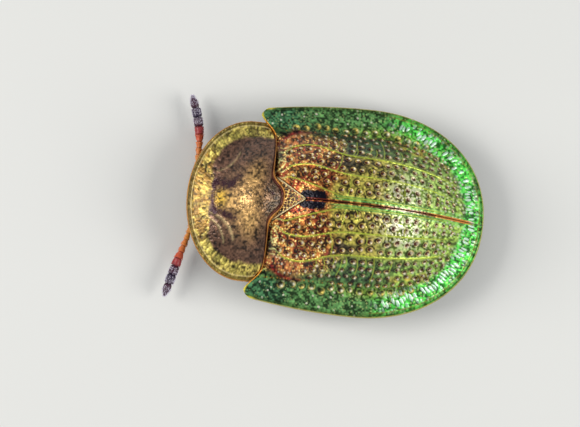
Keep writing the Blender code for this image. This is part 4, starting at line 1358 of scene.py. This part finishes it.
def camera():
    """Looks down from a little to the left, with the tail to the right of the picture."""
    data = bpy.data.cameras.new("camera")
    data.sensor_width = SENSOR
    data.lens = SENSOR * CAMERA_DISTANCE / PICTURE_WIDTH
    data.clip_start = 0.001
    data.clip_end = 10.0
    made = place_in_scene("camera", data)
    tilt, turn = math.radians(CAMERA_TILT), math.radians(CAMERA_TURN)
    back = Vector((math.sin(tilt) * math.cos(turn), math.sin(tilt) * math.sin(turn), math.cos(tilt)))
    right = Vector((-math.sin(turn), math.cos(turn), 0.0))
    axes = right, back.cross(right), back, (AIM + back * CAMERA_DISTANCE) * MM
    made.matrix_world = Matrix((*zip(*axes), (0.0, 0.0, 0.0, 1.0)))
    bpy.context.scene.camera = made


def light(name, place):
    """A soft square light, turned to face the animal."""
    data = bpy.data.lights.new(name, "AREA")
    data.size = LIGHT_SIZE * MM
    data.energy = LIGHT_STRENGTH * (LIGHT_SIZE * MM) ** 2
    data.color = LIGHT_COLOUR
    made = place_in_scene(name, data)
    made.location = Vector(place) * MM
    made.rotation_euler = (-made.location).to_track_quat("-Z", "Y").to_euler()


def surroundings():
    """A plain pale floor under an even, pale sky."""
    mesh = bpy.data.meshes.new("floor")
    corners = [(x * FLOOR_REACH, y * FLOOR_REACH, 0) for x, y in ((-1, -1), (1, -1), (1, 1), (-1, 1))]
    mesh.from_pydata(corners, [], [(0, 1, 2, 3)])
    floor = place_in_scene("floor", mesh)
    material = bpy.data.materials.new("floor")
    material.use_nodes = True
    settings(material.node_tree.nodes["Principled BSDF"], {
        "Base Color": FLOOR_COLOUR, "Roughness": 0.9, "Specular IOR Level": 0.2,
    })
    mesh.materials.append(material)
    world = bpy.data.worlds.new("studio")
    world.use_nodes = True
    settings(world.node_tree.nodes["Background"], {"Color": SKY_COLOUR, "Strength": SKY_STRENGTH})
    bpy.context.scene.world = world
    bpy.context.scene.view_settings.view_transform = "Standard"


camera()
surroundings()
for name, place in LIGHTS.items():
    light(name, place)

piece("wing_case_left", wing_case("left"), "wing_case", "elytron_left")
piece("wing_case_right", map(mirrored, wing_case("right")), "wing_case", "elytron_right")
piece("neck_shield", neck_shield(), "shield", "pronotum")
piece("scutellum_plate", scutellum(), "scutellum", "scutellum")
piece("trunk_skin", trunk(), "belly", "prothorax", "thorax", "abdomen")
piece("skull", head(), "head", "head")
for side, word in ((1, "left"), (-1, "right")):
    node = f"antenna_{word}"
    piece(f"faceted_eye_{word}", eye(side), "eye", f"eye_{word}")
    joints, feeler_roots = feeler(side)
    piece(f"feeler_{word}", joints, "feeler", node)
    short_hairs, skin_places = hairs(feeler_roots)
    piece(f"feeler_hairs_{word}", [short_hairs], "feeler", node, unwrap=skin_places)
for number, (station, leg_joints) in enumerate(LEGS.items()):
    limb, claws, leg_roots = leg(leg_joints, number)
    short_hairs, skin_places = hairs(leg_roots)
    parts = (("limb", limb, None), ("claws", claws, None), ("leg_hairs", [short_hairs], skin_places))
    for word, turned in (("left", tuple), ("right", mirrored)):
        for name, patches, unwrap in parts:
            place = f"{station}_{word}"
            piece(f"{name}_{place}", map(turned, patches), "leg", f"leg_{place}", unwrap=unwrap)
